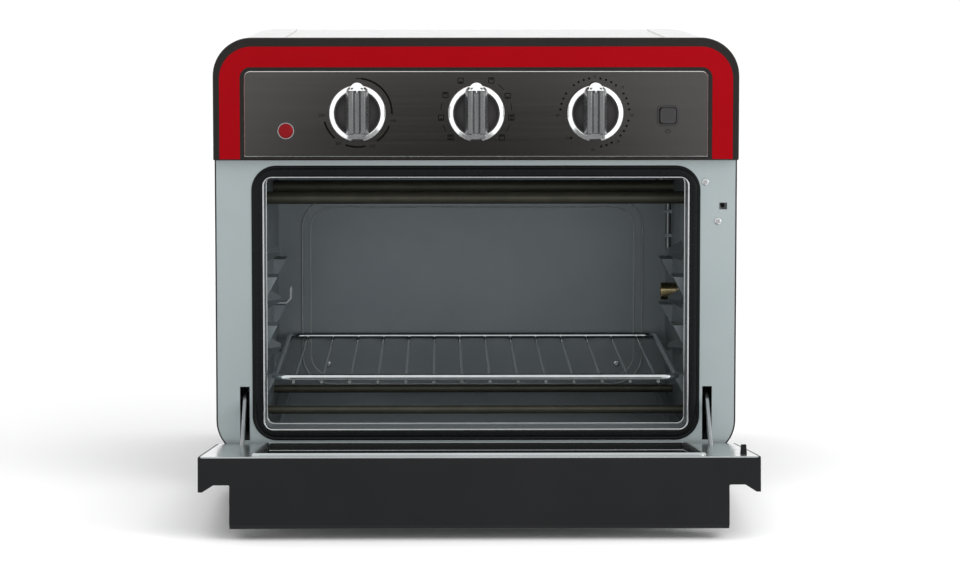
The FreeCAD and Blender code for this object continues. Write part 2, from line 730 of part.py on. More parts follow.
def grip_groove(x, y0):
    half = 1.4
    low = KNOB_Z - GRIP_BOTTOM - PAST
    return box(x - half, x + half, y0 - PAST, y0 + KNOB_GROOVE, low, KNOB_Z + GRIP_TOP + PAST)


def make_control(name, x, body):
    """A switch, timer or thermostat behind the front frame, with the bushing its shaft runs in."""
    bushing = rod_y(x, FRONT - BUSHING_L, FRONT + SHEET, KNOB_Z, BUSHING_R)
    bore_y1 = FRONT + SHEET + SHAFT_TAIL + FREE + 0.1
    bore = rod_y(x, FRONT - BUSHING_L - PAST, bore_y1, KNOB_Z, SHAFT_R + RUNNING)
    put(name, joined(body, bushing).cut(bore))


def make_controls():
    y0 = FRONT + SHEET
    x = KNOBS["temperature"]
    cup_r, cup_l, half, length = 16.0, 9.0, (12.0, 13.0), 26.0
    body = joined(
        rod_y(x, y0, y0 + cup_l, KNOB_Z, cup_r),
        box(x - half[0], x + half[0], y0 + cup_l, y0 + length, KNOB_Z - half[1], KNOB_Z + half[1]),
    )
    make_control("thermostat", x, body)
    x = KNOBS["function"]
    deck_r, deck_l, end_r, end_l = 19.0, 24.0, 12.0, 8.0
    body = joined(
        rod_y(x, y0, y0 + deck_l, KNOB_Z, deck_r),
        rod_y(x, y0 + deck_l, y0 + deck_l + end_l, KNOB_Z, end_r),
    )
    make_control("function_switch", x, body)
    x = KNOBS["timer"]
    half, case_l, corner_r = (23.0, 21.0), 28.0, 5.0
    bell = (24.0, 12.0, 14.0, 8.0, 22.0)  # x and z from the shaft, radius, depth, length
    body = joined(
        plate_y(x - half[0], x + half[0], KNOB_Z - half[1], KNOB_Z + half[1], y0, y0 + case_l, corner_r),
        rod_y(x + bell[0], y0 + bell[3], y0 + bell[3] + bell[4], KNOB_Z + bell[1], bell[2]),
    )
    make_control("timer", x, body)


def make_indicator():
    bezel_t, bezel_chamfer, bezel_lap = 1.4, 0.7, 0.2
    bezel_y = PANEL_FACE - bezel_t
    bezel = rod_y(LENS_X, bezel_y, PANEL_FACE, LENS_Z, LENS_BEZEL_R)
    front_edges = [e for e in bezel.Edges if abs(e.BoundBox.YMax - bezel_y) < 0.01]
    bezel = bezel.makeChamfer(bezel_chamfer, front_edges)
    bore = rod_y(LENS_X, bezel_y - PAST, PANEL_FACE + PAST, LENS_Z, LENS_R - bezel_lap)
    put("indicator_bezel", bezel.cut(bore))
    dome_r, stem_l, proud, lens_gap = 9.0, 3.0, 2.6, 0.3
    r = LENS_R - lens_gap
    drop = dome_r - math.sqrt(dome_r**2 - r**2)
    tip = PANEL_FACE - proud - drop
    stem = rod_y(LENS_X, tip, PANEL_FACE + stem_l, LENS_Z, r)
    put("indicator_lens", stem.common(Part.makeSphere(dome_r, V(LENS_X, tip + dome_r, LENS_Z))))
    lamp_tail = 14.0
    put("indicator_lamp", rod_y(LENS_X, PANEL_FACE + stem_l + FIT, FRONT + lamp_tail, LENS_Z, r))


def button_plate(half_w, half_h, y0, y1, r):
    return plate_y(BUTTON_X - half_w, BUTTON_X + half_w, BUTTON_Z - half_h, BUTTON_Z + half_h, y0, y1, r)


def make_lamp_button():
    bezel_t, bezel_r, button_gap, opening_r = 1.2, 1.6, 0.35, 1.4
    side = BUTTON_SIDE / 2
    hole = side + button_gap
    bezel = button_plate(BUTTON_BEZEL_W / 2, BUTTON_BEZEL_H / 2, PANEL_FACE - bezel_t, PANEL_FACE, bezel_r)
    opening = button_plate(hole, hole, PANEL_FACE - bezel_t - PAST, PANEL_FACE + PAST, opening_r)
    put("button_bezel", bezel.cut(opening))
    button_r, stem_l, rim_r = 1.2, 4.0, 0.5
    tip = PANEL_FACE - BUTTON_PROUD
    cap = button_plate(side, side, tip, PANEL_FACE + stem_l, button_r)
    rim = [e for e in cap.Edges if abs(e.BoundBox.YMax - tip) < 0.01]
    put("lamp_button", cap.makeFillet(rim_r, rim))
    travel, switch_tail = 3.2, 16.0
    put("lamp_switch", button_plate(side, side, PANEL_FACE + stem_l + travel, FRONT + switch_tail, 0.0))


# ---- cavity ------------------------------------------------------------------------------------
def make_collar():
    def opening(y0, y1, out, r):
        return plate_y(
            -HALF_OPENING - out, HALF_OPENING + out, OPENING_Z0 - out, OPENING_Z1 + out, y0, y1, r
        )

    y0 = FRONT - COLLAR_PROUD
    y1 = FRONT + COLLAR_D
    tube = opening(y0, y1, SHEET, OPENING_R + SHEET)
    outer_x = HALF_CAVITY + SHEET
    flange = box(-outer_x, outer_x, y1 - SHEET, y1, CAVITY_Z0 - SHEET, CAVITY_Z1 + SHEET)
    collar = tube.fuse(flange).cut(opening(y0 - PAST, y1 + PAST, 0.0, OPENING_R))
    put("cavity_collar", collar.removeSplitter())


def wall_presses():
    """Rack ledges and the bumps that hold the rack down, as they stand on the left wall."""
    x0 = -HALF_CAVITY - SHEET / 2
    x1 = -HALF_CAVITY + LEDGE_OUT
    shapes = []
    for tier in range(TIERS):
        top = LEDGE_TOP + tier * TIER_PITCH
        for depth in LEDGE_DEPTHS:
            y0 = FRONT + depth
            outline = [(x0, top), (x1, top), (x0, top - LEDGE_H)]
            shapes.append(prism_y(outline, y0, y0 + LEDGE_L))
        y_mid = FRONT + HOLD_DEPTH + HOLD_L / 2
        z_mid = top + 2 * RACK_ROD_R + HOLD_GAP + HOLD_H / 2
        base = [
            V(x0, y_mid - HOLD_L / 2, z_mid),
            V(x0, y_mid, z_mid - HOLD_H / 2),
            V(x0, y_mid + HOLD_L / 2, z_mid),
            V(x0, y_mid, z_mid + HOLD_H / 2),
        ]
        tip = 0.25
        small = [
            V(x1, y_mid - HOLD_L / 2 * tip, z_mid),
            V(x1, y_mid, z_mid - HOLD_H / 2 * tip),
            V(x1, y_mid + HOLD_L / 2 * tip, z_mid),
            V(x1, y_mid, z_mid + HOLD_H / 2 * tip),
        ]
        wires = [Part.makePolygon(points + points[:1]) for points in (base, small)]
        shapes.append(Part.makeLoft(wires, True, True))
    return shapes


def element_holes(x0, x1):
    holes = []
    for depth in ELEMENT_DEPTHS:
        holes.append(rod_x(x0, x1, FRONT + depth, UPPER_ELEMENT_Z, UPPER_ELEMENT_R + FIT))
        holes.append(rod_x(x0, x1, FRONT + depth, LOWER_ELEMENT_Z, LOWER_ELEMENT_R + FIT))
    return holes


def make_cavity():
    y0 = FRONT + COLLAR_D
    y1 = FRONT + CAVITY_D
    outer = HALF_CAVITY + SHEET
    wall = box(-outer, -HALF_CAVITY, y0, y1, CAVITY_Z0, CAVITY_Z1)
    left = joined(wall, *wall_presses())
    left = left.cut(element_holes(-outer - PAST, -HALF_CAVITY + PAST))
    right = mirrored(left)
    put("cavity_left_wall", left)
    reach = LEDGE_OUT + PAST
    spit_gap, lamp_gap = 1.5, 4.0
    cuts = [
        rod_x(HALF_CAVITY - reach, outer + PAST, FRONT + SPIT_D, SPIT_Z, SPIT_SHAFT_R + spit_gap),
        rod_x(HALF_CAVITY - reach, outer + PAST, FRONT + LAMP_D, LAMP_Z, BULB_R + lamp_gap),
    ]
    clips = []
    clip_w, clip_t, clip_end, clip_out = 3.0, 1.2, 8.5, 2.0
    for z in (PROBE_Z0 + clip_end, PROBE_Z0 + PROBE_L - clip_end - clip_w):
        clip = box(
            HALF_CAVITY - 2 * PROBE_R - clip_out,
            HALF_CAVITY,
            FRONT + PROBE_D - PROBE_R - clip_t,
            FRONT + PROBE_D + PROBE_R + clip_t,
            z,
            z + clip_w,
        )
        bore = rod_z(PROBE_X, FRONT + PROBE_D, z - PAST, z + clip_w + PAST, PROBE_R + 0.1)
        clips.append(clip.cut(bore))
    put("cavity_right_wall", joined(right.cut(cuts), *clips))
    put("cavity_roof", box(-outer, outer, y0, y1, CAVITY_Z1, CAVITY_Z1 + SHEET))
    put("cavity_floor", box(-outer, outer, y0, y1, CAVITY_Z0 - SHEET, CAVITY_Z0))
    make_cavity_back(y1, outer)


def make_cavity_back(y1, outer):
    back = box(-outer, outer, y1, y1 + SHEET, CAVITY_Z0 - SHEET, CAVITY_Z1 + SHEET)
    emboss_r, emboss_band, emboss_t, above_slot = 25.0, 7.0, 1.2, 1.5
    half = HALF_CAVITY - 21.0
    emboss_z1 = CAVITY_Z1 - 43.0
    emboss_z0 = CAVITY_Z0 + 2 * FREE + TRAY_RIM_H + above_slot
    ring = ring_y(
        -half, half, emboss_z0, emboss_z1, y1 - emboss_t, y1 + SHEET / 5, emboss_r, emboss_band
    )
    back = joined(back, ring)
    near, far = y1 - emboss_t - PAST, y1 + SHEET + PAST
    cuts = [tray_slot(near, far, FREE)]
    for x, z in back_wall_screw_places():
        cuts.append(rod_y(x, near, far, z, SCREW_HOLE_R))
    put("cavity_back", back.cut(cuts))


def make_seal():
    half = SEAL_W / 2
    seal = plate_y(-half, half, SEAL_Z0, SEAL_Z1, FRONT - SEAL_PROUD, FRONT, SEAL_R)
    gap = SHEET + FIT
    inner = plate_y(
        -HALF_OPENING - gap,
        HALF_OPENING + gap,
        OPENING_Z0 - gap,
        OPENING_Z1 + gap,
        FRONT - SEAL_PROUD - PAST,
        FRONT + PAST,
        OPENING_R + gap,
    )
    put("door_gasket", seal.cut(inner))


def make_elements():
    element_end = 2.5
    half = HALF_CAVITY + SHEET + INSULATOR_L + element_end
    upper = []
    lower = []
    insulators = []
    for depth in ELEMENT_DEPTHS:
        y = FRONT + depth
        upper.append(rod_x(-half, half, y, UPPER_ELEMENT_Z, UPPER_ELEMENT_R))
        lower.append(rod_x(-half, half, y, LOWER_ELEMENT_Z, LOWER_ELEMENT_R))
        for z, r in ((UPPER_ELEMENT_Z, UPPER_ELEMENT_R), (LOWER_ELEMENT_Z, LOWER_ELEMENT_R)):
            x0 = HALF_CAVITY + SHEET
            bush = rod_x(x0, x0 + INSULATOR_L, y, z, INSULATOR_R)
            insulators += pair(bush.cut(rod_x(x0 - PAST, x0 + INSULATOR_L + PAST, y, z, r)))
    put("upper_elements", *upper)
    put("lower_elements", *lower)
    put("element_insulators", *insulators)


def make_rack():
    half = RACK_W / 2 - RACK_ROD_R
    y0 = FRONT + RACK_FRONT
    y1 = y0 + RACK_L
    corner_r, weld, wire_end = 12.0, 0.5, 1.5
    path = rounded_wire(-half, half, y0, y1, corner_r, corner_r, lambda a, b: V(a, b, RACK_Z))
    start = path.Edges[0].Vertexes[0].Point
    tangent = path.Edges[0].tangentAt(path.Edges[0].FirstParameter)
    circle = Part.Wire(Part.makeCircle(RACK_ROD_R, start, tangent))
    frame = path.makePipeShell([circle], True, False)
    drop = RACK_ROD_R + RACK_WIRE_R - weld
    wires = []
    for i in range(RACK_WIRES):
        x = (i - (RACK_WIRES - 1) / 2) * RACK_WIRE_PITCH
        wires.append(rod_y(x, y0 - wire_end, y1 + wire_end, RACK_Z - drop, RACK_WIRE_R))
    put("wire_rack", joined(frame, *wires))


def make_tray():
    z0 = CAVITY_Z0 + FREE
    front_gap, before_back, lip_in, lip_down, lip_r = 4.0, 3.0, 20.0, 3.0, 2.0
    y0 = FRONT + COLLAR_D + front_gap
    y1 = REAR + FIT
    wall_y = FRONT + CAVITY_D - before_back
    half = TRAY_W / 2
    floor_z = z0 + SHEET
    rim_z = z0 + TRAY_RIM_H
    tray = box(-half, half, y0, y1, z0, rim_z)
    hollow = box(-half + SHEET, half - SHEET, y0 + SHEET, wall_y - SHEET, floor_z, rim_z + PAST)
    tail = box(-half - PAST, half + PAST, wall_y, y1 + PAST, floor_z, rim_z + PAST)
    lip_z = z0 - lip_down
    lip = plate_y(-half + lip_in, half - lip_in, lip_z, lip_z + TRAY_LIP_H, y1, y1 + TRAY_LIP_T, lip_r)
    put("crumb_tray", joined(tray.cut([hollow, tail]), lip))


def make_spit_parts():
    y = FRONT + SPIT_D
    wall_gap, shaft_l, motor_gap = 0.5, 12.0, 1.0
    hub_x = HALF_CAVITY - SPIT_HUB_L - wall_gap
    shaft_x = HALF_CAVITY + SHEET + shaft_l
    hub = rod_x(hub_x, hub_x + SPIT_HUB_L, y, SPIT_Z, SPIT_HUB_R)
    shaft = rod_x(hub_x + SPIT_HUB_L, shaft_x, y, SPIT_Z, SPIT_SHAFT_R)
    half = SPIT_SOCKET / 2
    socket = box(hub_x - PAST, hub_x + SPIT_SOCKET_L, y - half, y + half, SPIT_Z - half, SPIT_Z + half)
    put("rotisserie_coupling", joined(hub, shaft).cut(socket))
    x0 = HALF_CAVITY + SHEET + motor_gap
    plug_in, plug_half, plug_down = 2.0, 8.0, 9.0
    plug = box(
        x0 + plug_in,
        x0 + MOTOR_T - plug_in,
        y - plug_half,
        y + plug_half,
        SPIT_Z - MOTOR_R - plug_down,
        SPIT_Z,
    )
    motor = joined(rod_x(x0, x0 + MOTOR_T, y, SPIT_Z, MOTOR_R), plug)
    bore = rod_x(x0 - PAST, shaft_x + PAST, y, SPIT_Z, SPIT_SHAFT_R + RUNNING)
    put("rotisserie_motor", motor.cut(bore))
    make_spit_support(y)


def make_spit_support(y):
    """The hook on the left wall in which the far end of a spit turns."""
    hook_t, half_w, notch_r, bend, tail = 1.6, 7.0, 3.5, 4.0, 8.0
    x_wall = -HALF_CAVITY
    x_tip = x_wall + SPIT_HOOK_OUT
    z_leg = SPIT_Z - SPIT_HOOK_DOWN
    z_tip = SPIT_Z + SPIT_HOOK_UP
    inner_bend = hook_t * 0.4
    outline = [
        (x_wall, z_leg + tail),
        (x_wall, z_leg),
        (x_tip - bend, z_leg),
        (x_tip, z_leg + bend),
        (x_tip, z_tip),
        (x_tip - hook_t, z_tip),
        (x_tip - hook_t, z_leg + bend + inner_bend),
        (x_tip - bend - inner_bend, z_leg + hook_t),
        (x_wall + hook_t, z_leg + hook_t),
        (x_wall + hook_t, z_leg + tail),
    ]
    bracket = prism_y(outline, y - half_w, y + half_w)
    x0, x1 = x_tip - hook_t - PAST, x_tip + PAST
    notch = joined(
        rod_x(x0, x1, y, SPIT_Z, notch_r),
        box(x0, x1, y - notch_r, y + notch_r, SPIT_Z, z_tip + PAST),
    )
    put("spit_support", bracket.cut(notch))


def make_oven_lamp():
    y = FRONT + LAMP_D
    cover_t, cover_round = 2.0, 5.0
    x0 = HALF_CAVITY - LAMP_OUT
    inside_x = x0 + cover_t
    cup = rod_x(x0, HALF_CAVITY, y, LAMP_Z, LAMP_R)
    cup = cup.makeFillet(cover_round, [e for e in cup.Edges if abs(e.BoundBox.XMax - x0) < 0.01])
    inside = rod_x(inside_x, HALF_CAVITY + PAST, y, LAMP_Z, LAMP_R - cover_t)
    deep_edges = [e for e in inside.Edges if abs(e.BoundBox.XMax - inside_x) < 0.01]
    inside = inside.makeFillet(cover_round - cover_t / 2 - 0.5, deep_edges)
    put("lamp_cover", cup.cut(inside))
    flange_r, flange_t, socket_r, socket_l, bore_l = 16.0, 3.0, 11.0, 21.0, 16.0
    x1 = HALF_CAVITY + SHEET
    holder = joined(
        rod_x(x1, x1 + flange_t, y, LAMP_Z, flange_r),
        rod_x(x1 + flange_t, x1 + flange_t + socket_l, y, LAMP_Z, socket_r),
    )
    put("lamp_holder", holder.cut(rod_x(x1 - PAST, x1 + bore_l, y, LAMP_Z, BULB_R + FIT)))
    bulb_x = inside_x + 2.5
    glass = rod_x(bulb_x, x1 + bore_l - FIT, y, LAMP_Z, BULB_R)
    tip = [e for e in glass.Edges if abs(e.BoundBox.XMax - bulb_x) < 0.01]
    put("lamp_bulb", glass.makeFillet(BULB_R - 0.5, tip))


def make_probe():
    probe = rod_z(PROBE_X, FRONT + PROBE_D, PROBE_Z0, PROBE_Z0 + PROBE_L, PROBE_R)
    put("thermostat_bulb", probe)


# ---- door, drawn closed ------------------------------------------------------------------------
def door_y(inward):
    """The y of a plane that lies inward (towards the cavity) of the hinge axis, door closed."""
    return HINGE_Y + inward


def door_z(up):
    return HINGE_Z + up


def window_box(grow):
    """Half width, low and high edge of the inner window, grown by a margin."""
    clear = LIP_CLEAR + WINDOW_LIP_W
    return (
        HALF_OPENING - clear + grow,
        OPENING_Z0 + clear - grow,
        OPENING_Z1 - clear + grow,
    )


def ear_notches():
    """Corner notches for the hinge ears, and slots for the hinge arms."""
    cuts = []
    ear_clear = EAR_R + FREE + SWING
    arm_clear = ARM_H / 2 + FREE + 0.5
    arm_sweep = 19.5
    for s in (-1, 1):
        half = EAR_T / 2 + FREE
        cuts.append(
            box(
                s * EAR_X - half,
                s * EAR_X + half,
                door_y(-ear_clear),
                door_y(DOOR_IN + PAST),
                door_z(-DOOR_BELOW - PAST),
                door_z(ear_clear),
            )
        )
        half = ARM_T / 2 + FREE
        cuts.append(
            box(
                s * SLOT_X - half,
                s * SLOT_X + half,
                door_y(ARM_IN - arm_clear),
                door_y(DOOR_IN + PAST),
                door_z(ARM_UP - arm_sweep),
                door_z(ARM_UP + arm_clear),
            )
        )
    return cuts


def pin_spans():
    """Hinge pin and arm rivet: x of the low end, length, y, z and radius on the right side."""
    return (
        (EAR_X - PIN_L / 2, PIN_L, HINGE_Y, HINGE_Z, PIN_R),
        (SLOT_X - ARM_PIN_L / 2, ARM_PIN_L, door_y(ARM_IN), door_z(ARM_UP), ARM_PIN_R),
    )


def make_hinge_pins():
    pins = []
    for x, length, y, z, r in pin_spans():
        pins += [opened(p) for p in pair(rod_x(x, x + length, y, z, r))]
    put("hinge_pins", *pins)


def door_rims(z0, z1):
    back = door_y(DOOR_IN - INNER_PANEL_T)
    return pair(box(HALF_DOOR - DOOR_RIM, HALF_DOOR, back, door_y(DOOR_IN), z0, z1))


def make_door_frame():
    z_low = door_z(-DOOR_BELOW)
    z_high = door_z(DOOR_L - HANDLE_CAP_H)
    back = door_y(DOOR_IN - INNER_PANEL_T)
    front = door_y(DOOR_IN - DOOR_T)
    corner_r, top_bar, pin_gap = 3.0, 6.0, 0.1
    frame = plate_y(-HALF_DOOR, HALF_DOOR, z_low, z_high, front, back, corner_r, 0.0)
    half, z0, z1 = window_box(-FRAME_LAP)
    z1 = min(z1, z_high - top_bar)
    cuts = [plate_y(-half, half, z0, z1, front - PAST, back + PAST, corner_r)]
    half, z0, z1 = window_box(GLASS_LAP)
    cuts.append(box(-half, half, back - GLASS_T - FIT, back + PAST, z0, z_high + PAST))
    half = OUTER_GLASS_W / 2
    glass_z = z_low + OUTER_GLASS_UP
    cuts.append(box(-half, half, front - PAST, front + OUTER_GLASS_T, glass_z, z_high + PAST))
    for x, length, y, z, r in pin_spans():
        cuts += pair(rod_x(x - pin_gap, x + length + pin_gap, y, z, r + PRESS))
    frame = joined(frame, *door_rims(door_z(0.0), z_high))
    put("door_frame", opened(frame.cut(cuts + ear_notches())))


def make_door_glass():
    z_high = door_z(DOOR_L - HANDLE_CAP_H)
    back = door_y(DOOR_IN - INNER_PANEL_T)
    half, z0, _ = window_box(GLASS_LAP)
    inner = box(-half + FIT, half - FIT, back - GLASS_T - FIT / 2, back - FIT / 2, z0 + FIT, z_high - FIT)
    put("door_inner_glass", opened(inner))
    front = door_y(DOOR_IN - DOOR_T)
    half = OUTER_GLASS_W / 2 - FIT
    z_low = door_z(-DOOR_BELOW) + OUTER_GLASS_UP + FIT
    outer = box(-half, half, front + FIT, front + OUTER_GLASS_T - FIT / 2, z_low, z_high - FIT)
    put("door_outer_glass", opened(outer))


def make_inner_panel():
    face = door_y(DOOR_IN)
    back = face - INNER_PANEL_T
    half = HALF_DOOR - DOOR_RIM - FIT
    corner_r, lip_chamfer, window_r = 1.0, 1.2, 2.5
    panel = plate_y(-half, half, door_z(0.0), door_z(DOOR_L - HANDLE_LOW), back, face, corner_r)
    half, z0, z1 = window_box(WINDOW_LIP_W)
    lip = plate_y(-half, half, z0, z1, back, face + WINDOW_LIP_H, OPENING_R - LIP_CLEAR)
    edges = [e for e in lip.Edges if abs(e.BoundBox.YMin - face - WINDOW_LIP_H) < 0.01]
    lip = lip.makeChamfer(lip_chamfer, edges)
    half, z0, z1 = window_box(0.0)
    window = plate_y(-half, half, z0, z1, back - PAST, face + WINDOW_LIP_H + PAST, window_r)
    half = PEG_FOOT_W / 2 + PEG_GAP
    tall = PEG_FOOT_H / 2 + PEG_GAP
    peg_hole = box(PEG_X - half, PEG_X + half, back - PAST, face + PAST, PEG_Z - tall, PEG_Z + tall)
    panel = joined(panel, lip).cut([window, peg_hole] + ear_notches())
    put("door_inner_panel", opened(panel))


def make_peg():
    face = door_y(DOOR_IN)
    back = face - INNER_PANEL_T
    half_w, half_h = PEG_FOOT_W / 2, PEG_FOOT_H / 2
    foot = box(PEG_X - half_w, PEG_X + half_w, back, face, PEG_Z - half_h, PEG_Z + half_h)
    root, tip = (4.6, 3.6), (3.6, 2.8)
    wires = []
    for y, (w, h) in ((face, root), (face + PEG_L, tip)):
        corners = [
            V(PEG_X - w / 2, y, PEG_Z - h / 2),
            V(PEG_X + w / 2, y, PEG_Z - h / 2),
            V(PEG_X + w / 2, y, PEG_Z + h / 2),
            V(PEG_X - w / 2, y, PEG_Z + h / 2),
        ]
        wires.append(Part.makePolygon(corners + corners[:1]))
    peg = joined(foot, Part.makeLoft(wires, True, True))
    put("switch_peg", opened(peg))


def make_handle():
    back = door_y(DOOR_IN - INNER_PANEL_T)
    front = door_y(DOOR_IN - DOOR_T)
    top = door_z(DOOR_L)
    low = door_z(DOOR_L - HANDLE_CAP_H)
    cap = box(-HALF_DOOR, HALF_DOOR, front, back, low, top)
    end_y = door_y(DOOR_IN - DOOR_END_T)
    end_tip, end_root, weld = 3.0, 11.0, 1.0
    ends = []
    for s in (-1, 1):
        outline = [
            (s * HALF_DOOR, end_y),
            (s * (HALF_DOOR - end_tip), end_y),
            (s * (HALF_DOOR - end_root), front),
            (s * (HALF_DOOR - end_root), front + weld),
            (s * HALF_DOOR, front + weld),
        ]
        corners = [V(x, y, low) for x, y in outline]
        face = Part.Face(Part.makePolygon(corners + corners[:1]))
        ends.append(face.extrude(V(0, 0, top - low)))
    grip_y = door_y(DOOR_IN - HANDLE_REACH)
    half = HANDLE_W / 2
    slab = box(-half, half, grip_y, front + weld, top - HANDLE_PLATE_T, top)
    lip = box(-half, half, grip_y, grip_y + HANDLE_LIP_T, top - HANDLE_LIP_H, top)
    grip = joined(slab, lip)
    edges = [
        e
        for e in grip.Edges
        if abs(e.BoundBox.YMax - grip_y) < 0.01 and abs(e.BoundBox.ZMin - top) < 0.01
    ]
    grip = grip.makeChamfer(HANDLE_CHAMFER, edges)
    handle = joined(cap, grip, *ends, *door_rims(low, top - HANDLE_LOW))
    put("door_handle", opened(handle))


# ---- hinge hardware ----------------------------------------------------------------------------
def make_brackets():
    foot_t, foot_up, web_l, tab_half, behind = 1.5, 0.6, 10.0, 5.0, 6.0
    x0 = EAR_X - EAR_T / 2
    x1 = EAR_X + EAR_T / 2
    z_foot = FEET_H + 2 * SHEET
    disc = rod_x(x0, x1, HINGE_Y, HINGE_Z, EAR_R)
    y_web = FRONT + FLANGE_D + 2 * FIT
    web = box(x0, x1, HINGE_Y, y_web + web_l, z_foot + foot_up, HINGE_Z + EAR_R)
    foot_x = HALF_SHELL - CORNER_R + 4.0
    y_tab = FRONT + SPRING_ANCHOR_D
    foot = box(x0, foot_x, y_web, y_tab + behind, z_foot, z_foot + foot_t)
    foot = foot.cut(foot_screw_holes(z_foot, foot_t))
    outline = [
        (x0, z_foot),
        (foot_x, z_foot),
        (SLOT_X + tab_half, z_foot + 9),
        (SLOT_X + tab_half, SPRING_ANCHOR_Z + 6),
        (SLOT_X - tab_half, SPRING_ANCHOR_Z + 6),
        (SLOT_X - tab_half, z_foot + 12),
        (x0, z_foot + 6),
    ]
    tab = prism_y(outline, y_tab, y_tab + foot_t)
    pin_hole = rod_x(x0 - PAST, x1 + PAST, HINGE_Y, HINGE_Z, PIN_R + RUNNING)
    put("hinge_brackets", *pair(joined(disc, web, foot, tab).cut(pin_hole)))


def arm_pivot():
    """Where the arm pivots on the door, with the door open."""
    y = ARM_IN * math.cos(OPEN) - ARM_UP * math.sin(OPEN)
    z = ARM_IN * math.sin(OPEN) + ARM_UP * math.cos(OPEN)
    return HINGE_Y + y, HINGE_Z + z


def make_arms():
    y, z = arm_pivot()
    half = ARM_H / 2
    x0 = SLOT_X - ARM_T / 2
    x1 = SLOT_X + ARM_T / 2
    bar = box(x0, x1, y, y + ARM_L, z - half, z + half)
    arm = joined(bar, rod_x(x0, x1, y, z, half), rod_x(x0, x1, y + ARM_L, z, half))
    holes = [
        rod_x(x0 - PAST, x1 + PAST, y, z, ARM_PIN_R + RUNNING),
        rod_x(x0 - PAST, x1 + PAST, y + ARM_L, z, SPRING_EYE_R),
    ]
    arm = arm.cut(holes)
    arm.rotate(V(0, y, z), V(1, 0, 0), ARM_OPEN_DEG)
    put("hinge_arms", *pair(arm))


def make_springs():
    y, z = arm_pivot()
    slope = math.radians(ARM_OPEN_DEG)
    reach = ARM_L + ARM_H / 2 + SPRING_HOOK
    start = V(SLOT_X, y + reach * math.cos(slope), z + reach * math.sin(slope))
    end = V(SLOT_X, FRONT + SPRING_ANCHOR_D - SPRING_END, SPRING_ANCHOR_Z)
    run = end - start
    spring = Part.makeCylinder(SPRING_R, run.Length, start, run)
    put("door_springs", *pair(spring))


def make_door_switch():
    rest_gap, case_in, case_l, half_w, half_h = 0.6, 4.0, 20.0, 5.0, 10.0
    y_plunger = FRONT + PEG_L - DOOR_GAP + rest_gap  # just behind the closed door's peg
    y_case = y_plunger + case_in
    body = box(PEG_X - half_w, PEG_X + half_w, y_case, y_case + case_l, PEG_Z - half_h, PEG_Z + half_h)
    bore = rod_y(PEG_X, y_plunger, y_plunger + 3 * case_in, PEG_Z, PLUNGER_R + RUNNING)
    z0, z1 = PEG_Z - half_h - 5.0, PEG_Z - half_h + 2.0
    bracket = box(PEG_X - half_w, PEG_X + half_w, FRONT + SHEET, y_case, z0, z1)
    tab = box(PEG_X - half_w - 1.5, PEG_X + half_w - 1.0, FRONT + SHEET, FRONT + 2 * SHEET, z0, z1)
    cuts = [bore]
    for x, z in frame_screw_places():
        cuts.append(rod_y(x, FRONT, FRONT + SCREW_L * 2, z, SCREW_HOLE_R))
    put("door_switch", joined(body, bracket, tab).cut(cuts))
    plunger_l = 8.5
    put("switch_plunger", rod_y(PEG_X, y_plunger, y_plunger + plunger_l, PEG_Z, PLUNGER_R))


def main():
    make_shell()
    make_base()
    make_feet()
    make_case_screws()
    make_front_frame()
    make_rear_cover()
    make_gland()
    make_terminal_block()
    make_housing()
    make_red_band()
    make_panel()
    for name, x in KNOBS.items():
        make_knob(name, x)
    make_controls()
    make_indicator()
    make_lamp_button()
    make_collar()
    make_cavity()
    make_seal()
    make_elements()
    make_rack()
    make_tray()
    make_spit_parts()
    make_oven_lamp()
    make_probe()
    make_hinge_pins()
    make_door_frame()
    make_door_glass()
    make_inner_panel()
    make_peg()
    make_handle()
    make_brackets()
    make_arms()
    make_springs()
    make_door_switch()
    os.makedirs("parts", exist_ok=True)
    for name, shape in PIECES.items():
        if not shape.isValid():
            raise ValueError(name + " is not a valid shape")
        shape.exportStep("parts/" + name + ".step")
        print(f"{name}: {len(shape.Solids)} solid(s), {shape.Volume / 1000:.2f} cm3")
    pivot_y, pivot_z = arm_pivot()
    print(f"front frame y {FRONT:.3f}, hinge axis y {HINGE_Y:.3f} z {HINGE_Z:.3f}")
    print(f"arm pivot y {pivot_y:.3f} z {pivot_z:.3f}")


main()
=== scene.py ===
import json
import math

import bmesh
import bpy
from mathutils import Matrix, Vector


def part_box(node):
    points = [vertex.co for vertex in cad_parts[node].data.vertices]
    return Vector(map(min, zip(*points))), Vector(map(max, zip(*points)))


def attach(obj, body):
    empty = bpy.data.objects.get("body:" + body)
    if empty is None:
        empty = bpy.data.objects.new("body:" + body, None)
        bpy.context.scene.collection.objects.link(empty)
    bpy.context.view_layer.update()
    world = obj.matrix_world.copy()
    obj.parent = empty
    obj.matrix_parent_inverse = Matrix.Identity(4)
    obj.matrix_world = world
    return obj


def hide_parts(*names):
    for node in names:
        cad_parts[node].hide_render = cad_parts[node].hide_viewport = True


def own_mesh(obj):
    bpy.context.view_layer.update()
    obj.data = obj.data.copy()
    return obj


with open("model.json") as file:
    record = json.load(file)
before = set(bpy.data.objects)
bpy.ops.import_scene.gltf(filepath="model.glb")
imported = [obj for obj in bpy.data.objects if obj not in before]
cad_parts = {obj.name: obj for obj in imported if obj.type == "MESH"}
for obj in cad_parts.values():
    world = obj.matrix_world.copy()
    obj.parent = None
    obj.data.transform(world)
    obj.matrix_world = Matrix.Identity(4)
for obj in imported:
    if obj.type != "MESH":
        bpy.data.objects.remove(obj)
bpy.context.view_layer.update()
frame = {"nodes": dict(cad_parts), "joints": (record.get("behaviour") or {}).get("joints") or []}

nodes = frame["nodes"]
MM = 0.001
NEAR = 0.01 * MM  # corners closer than this are one corner
WELD_NEAR = 0.02 * MM


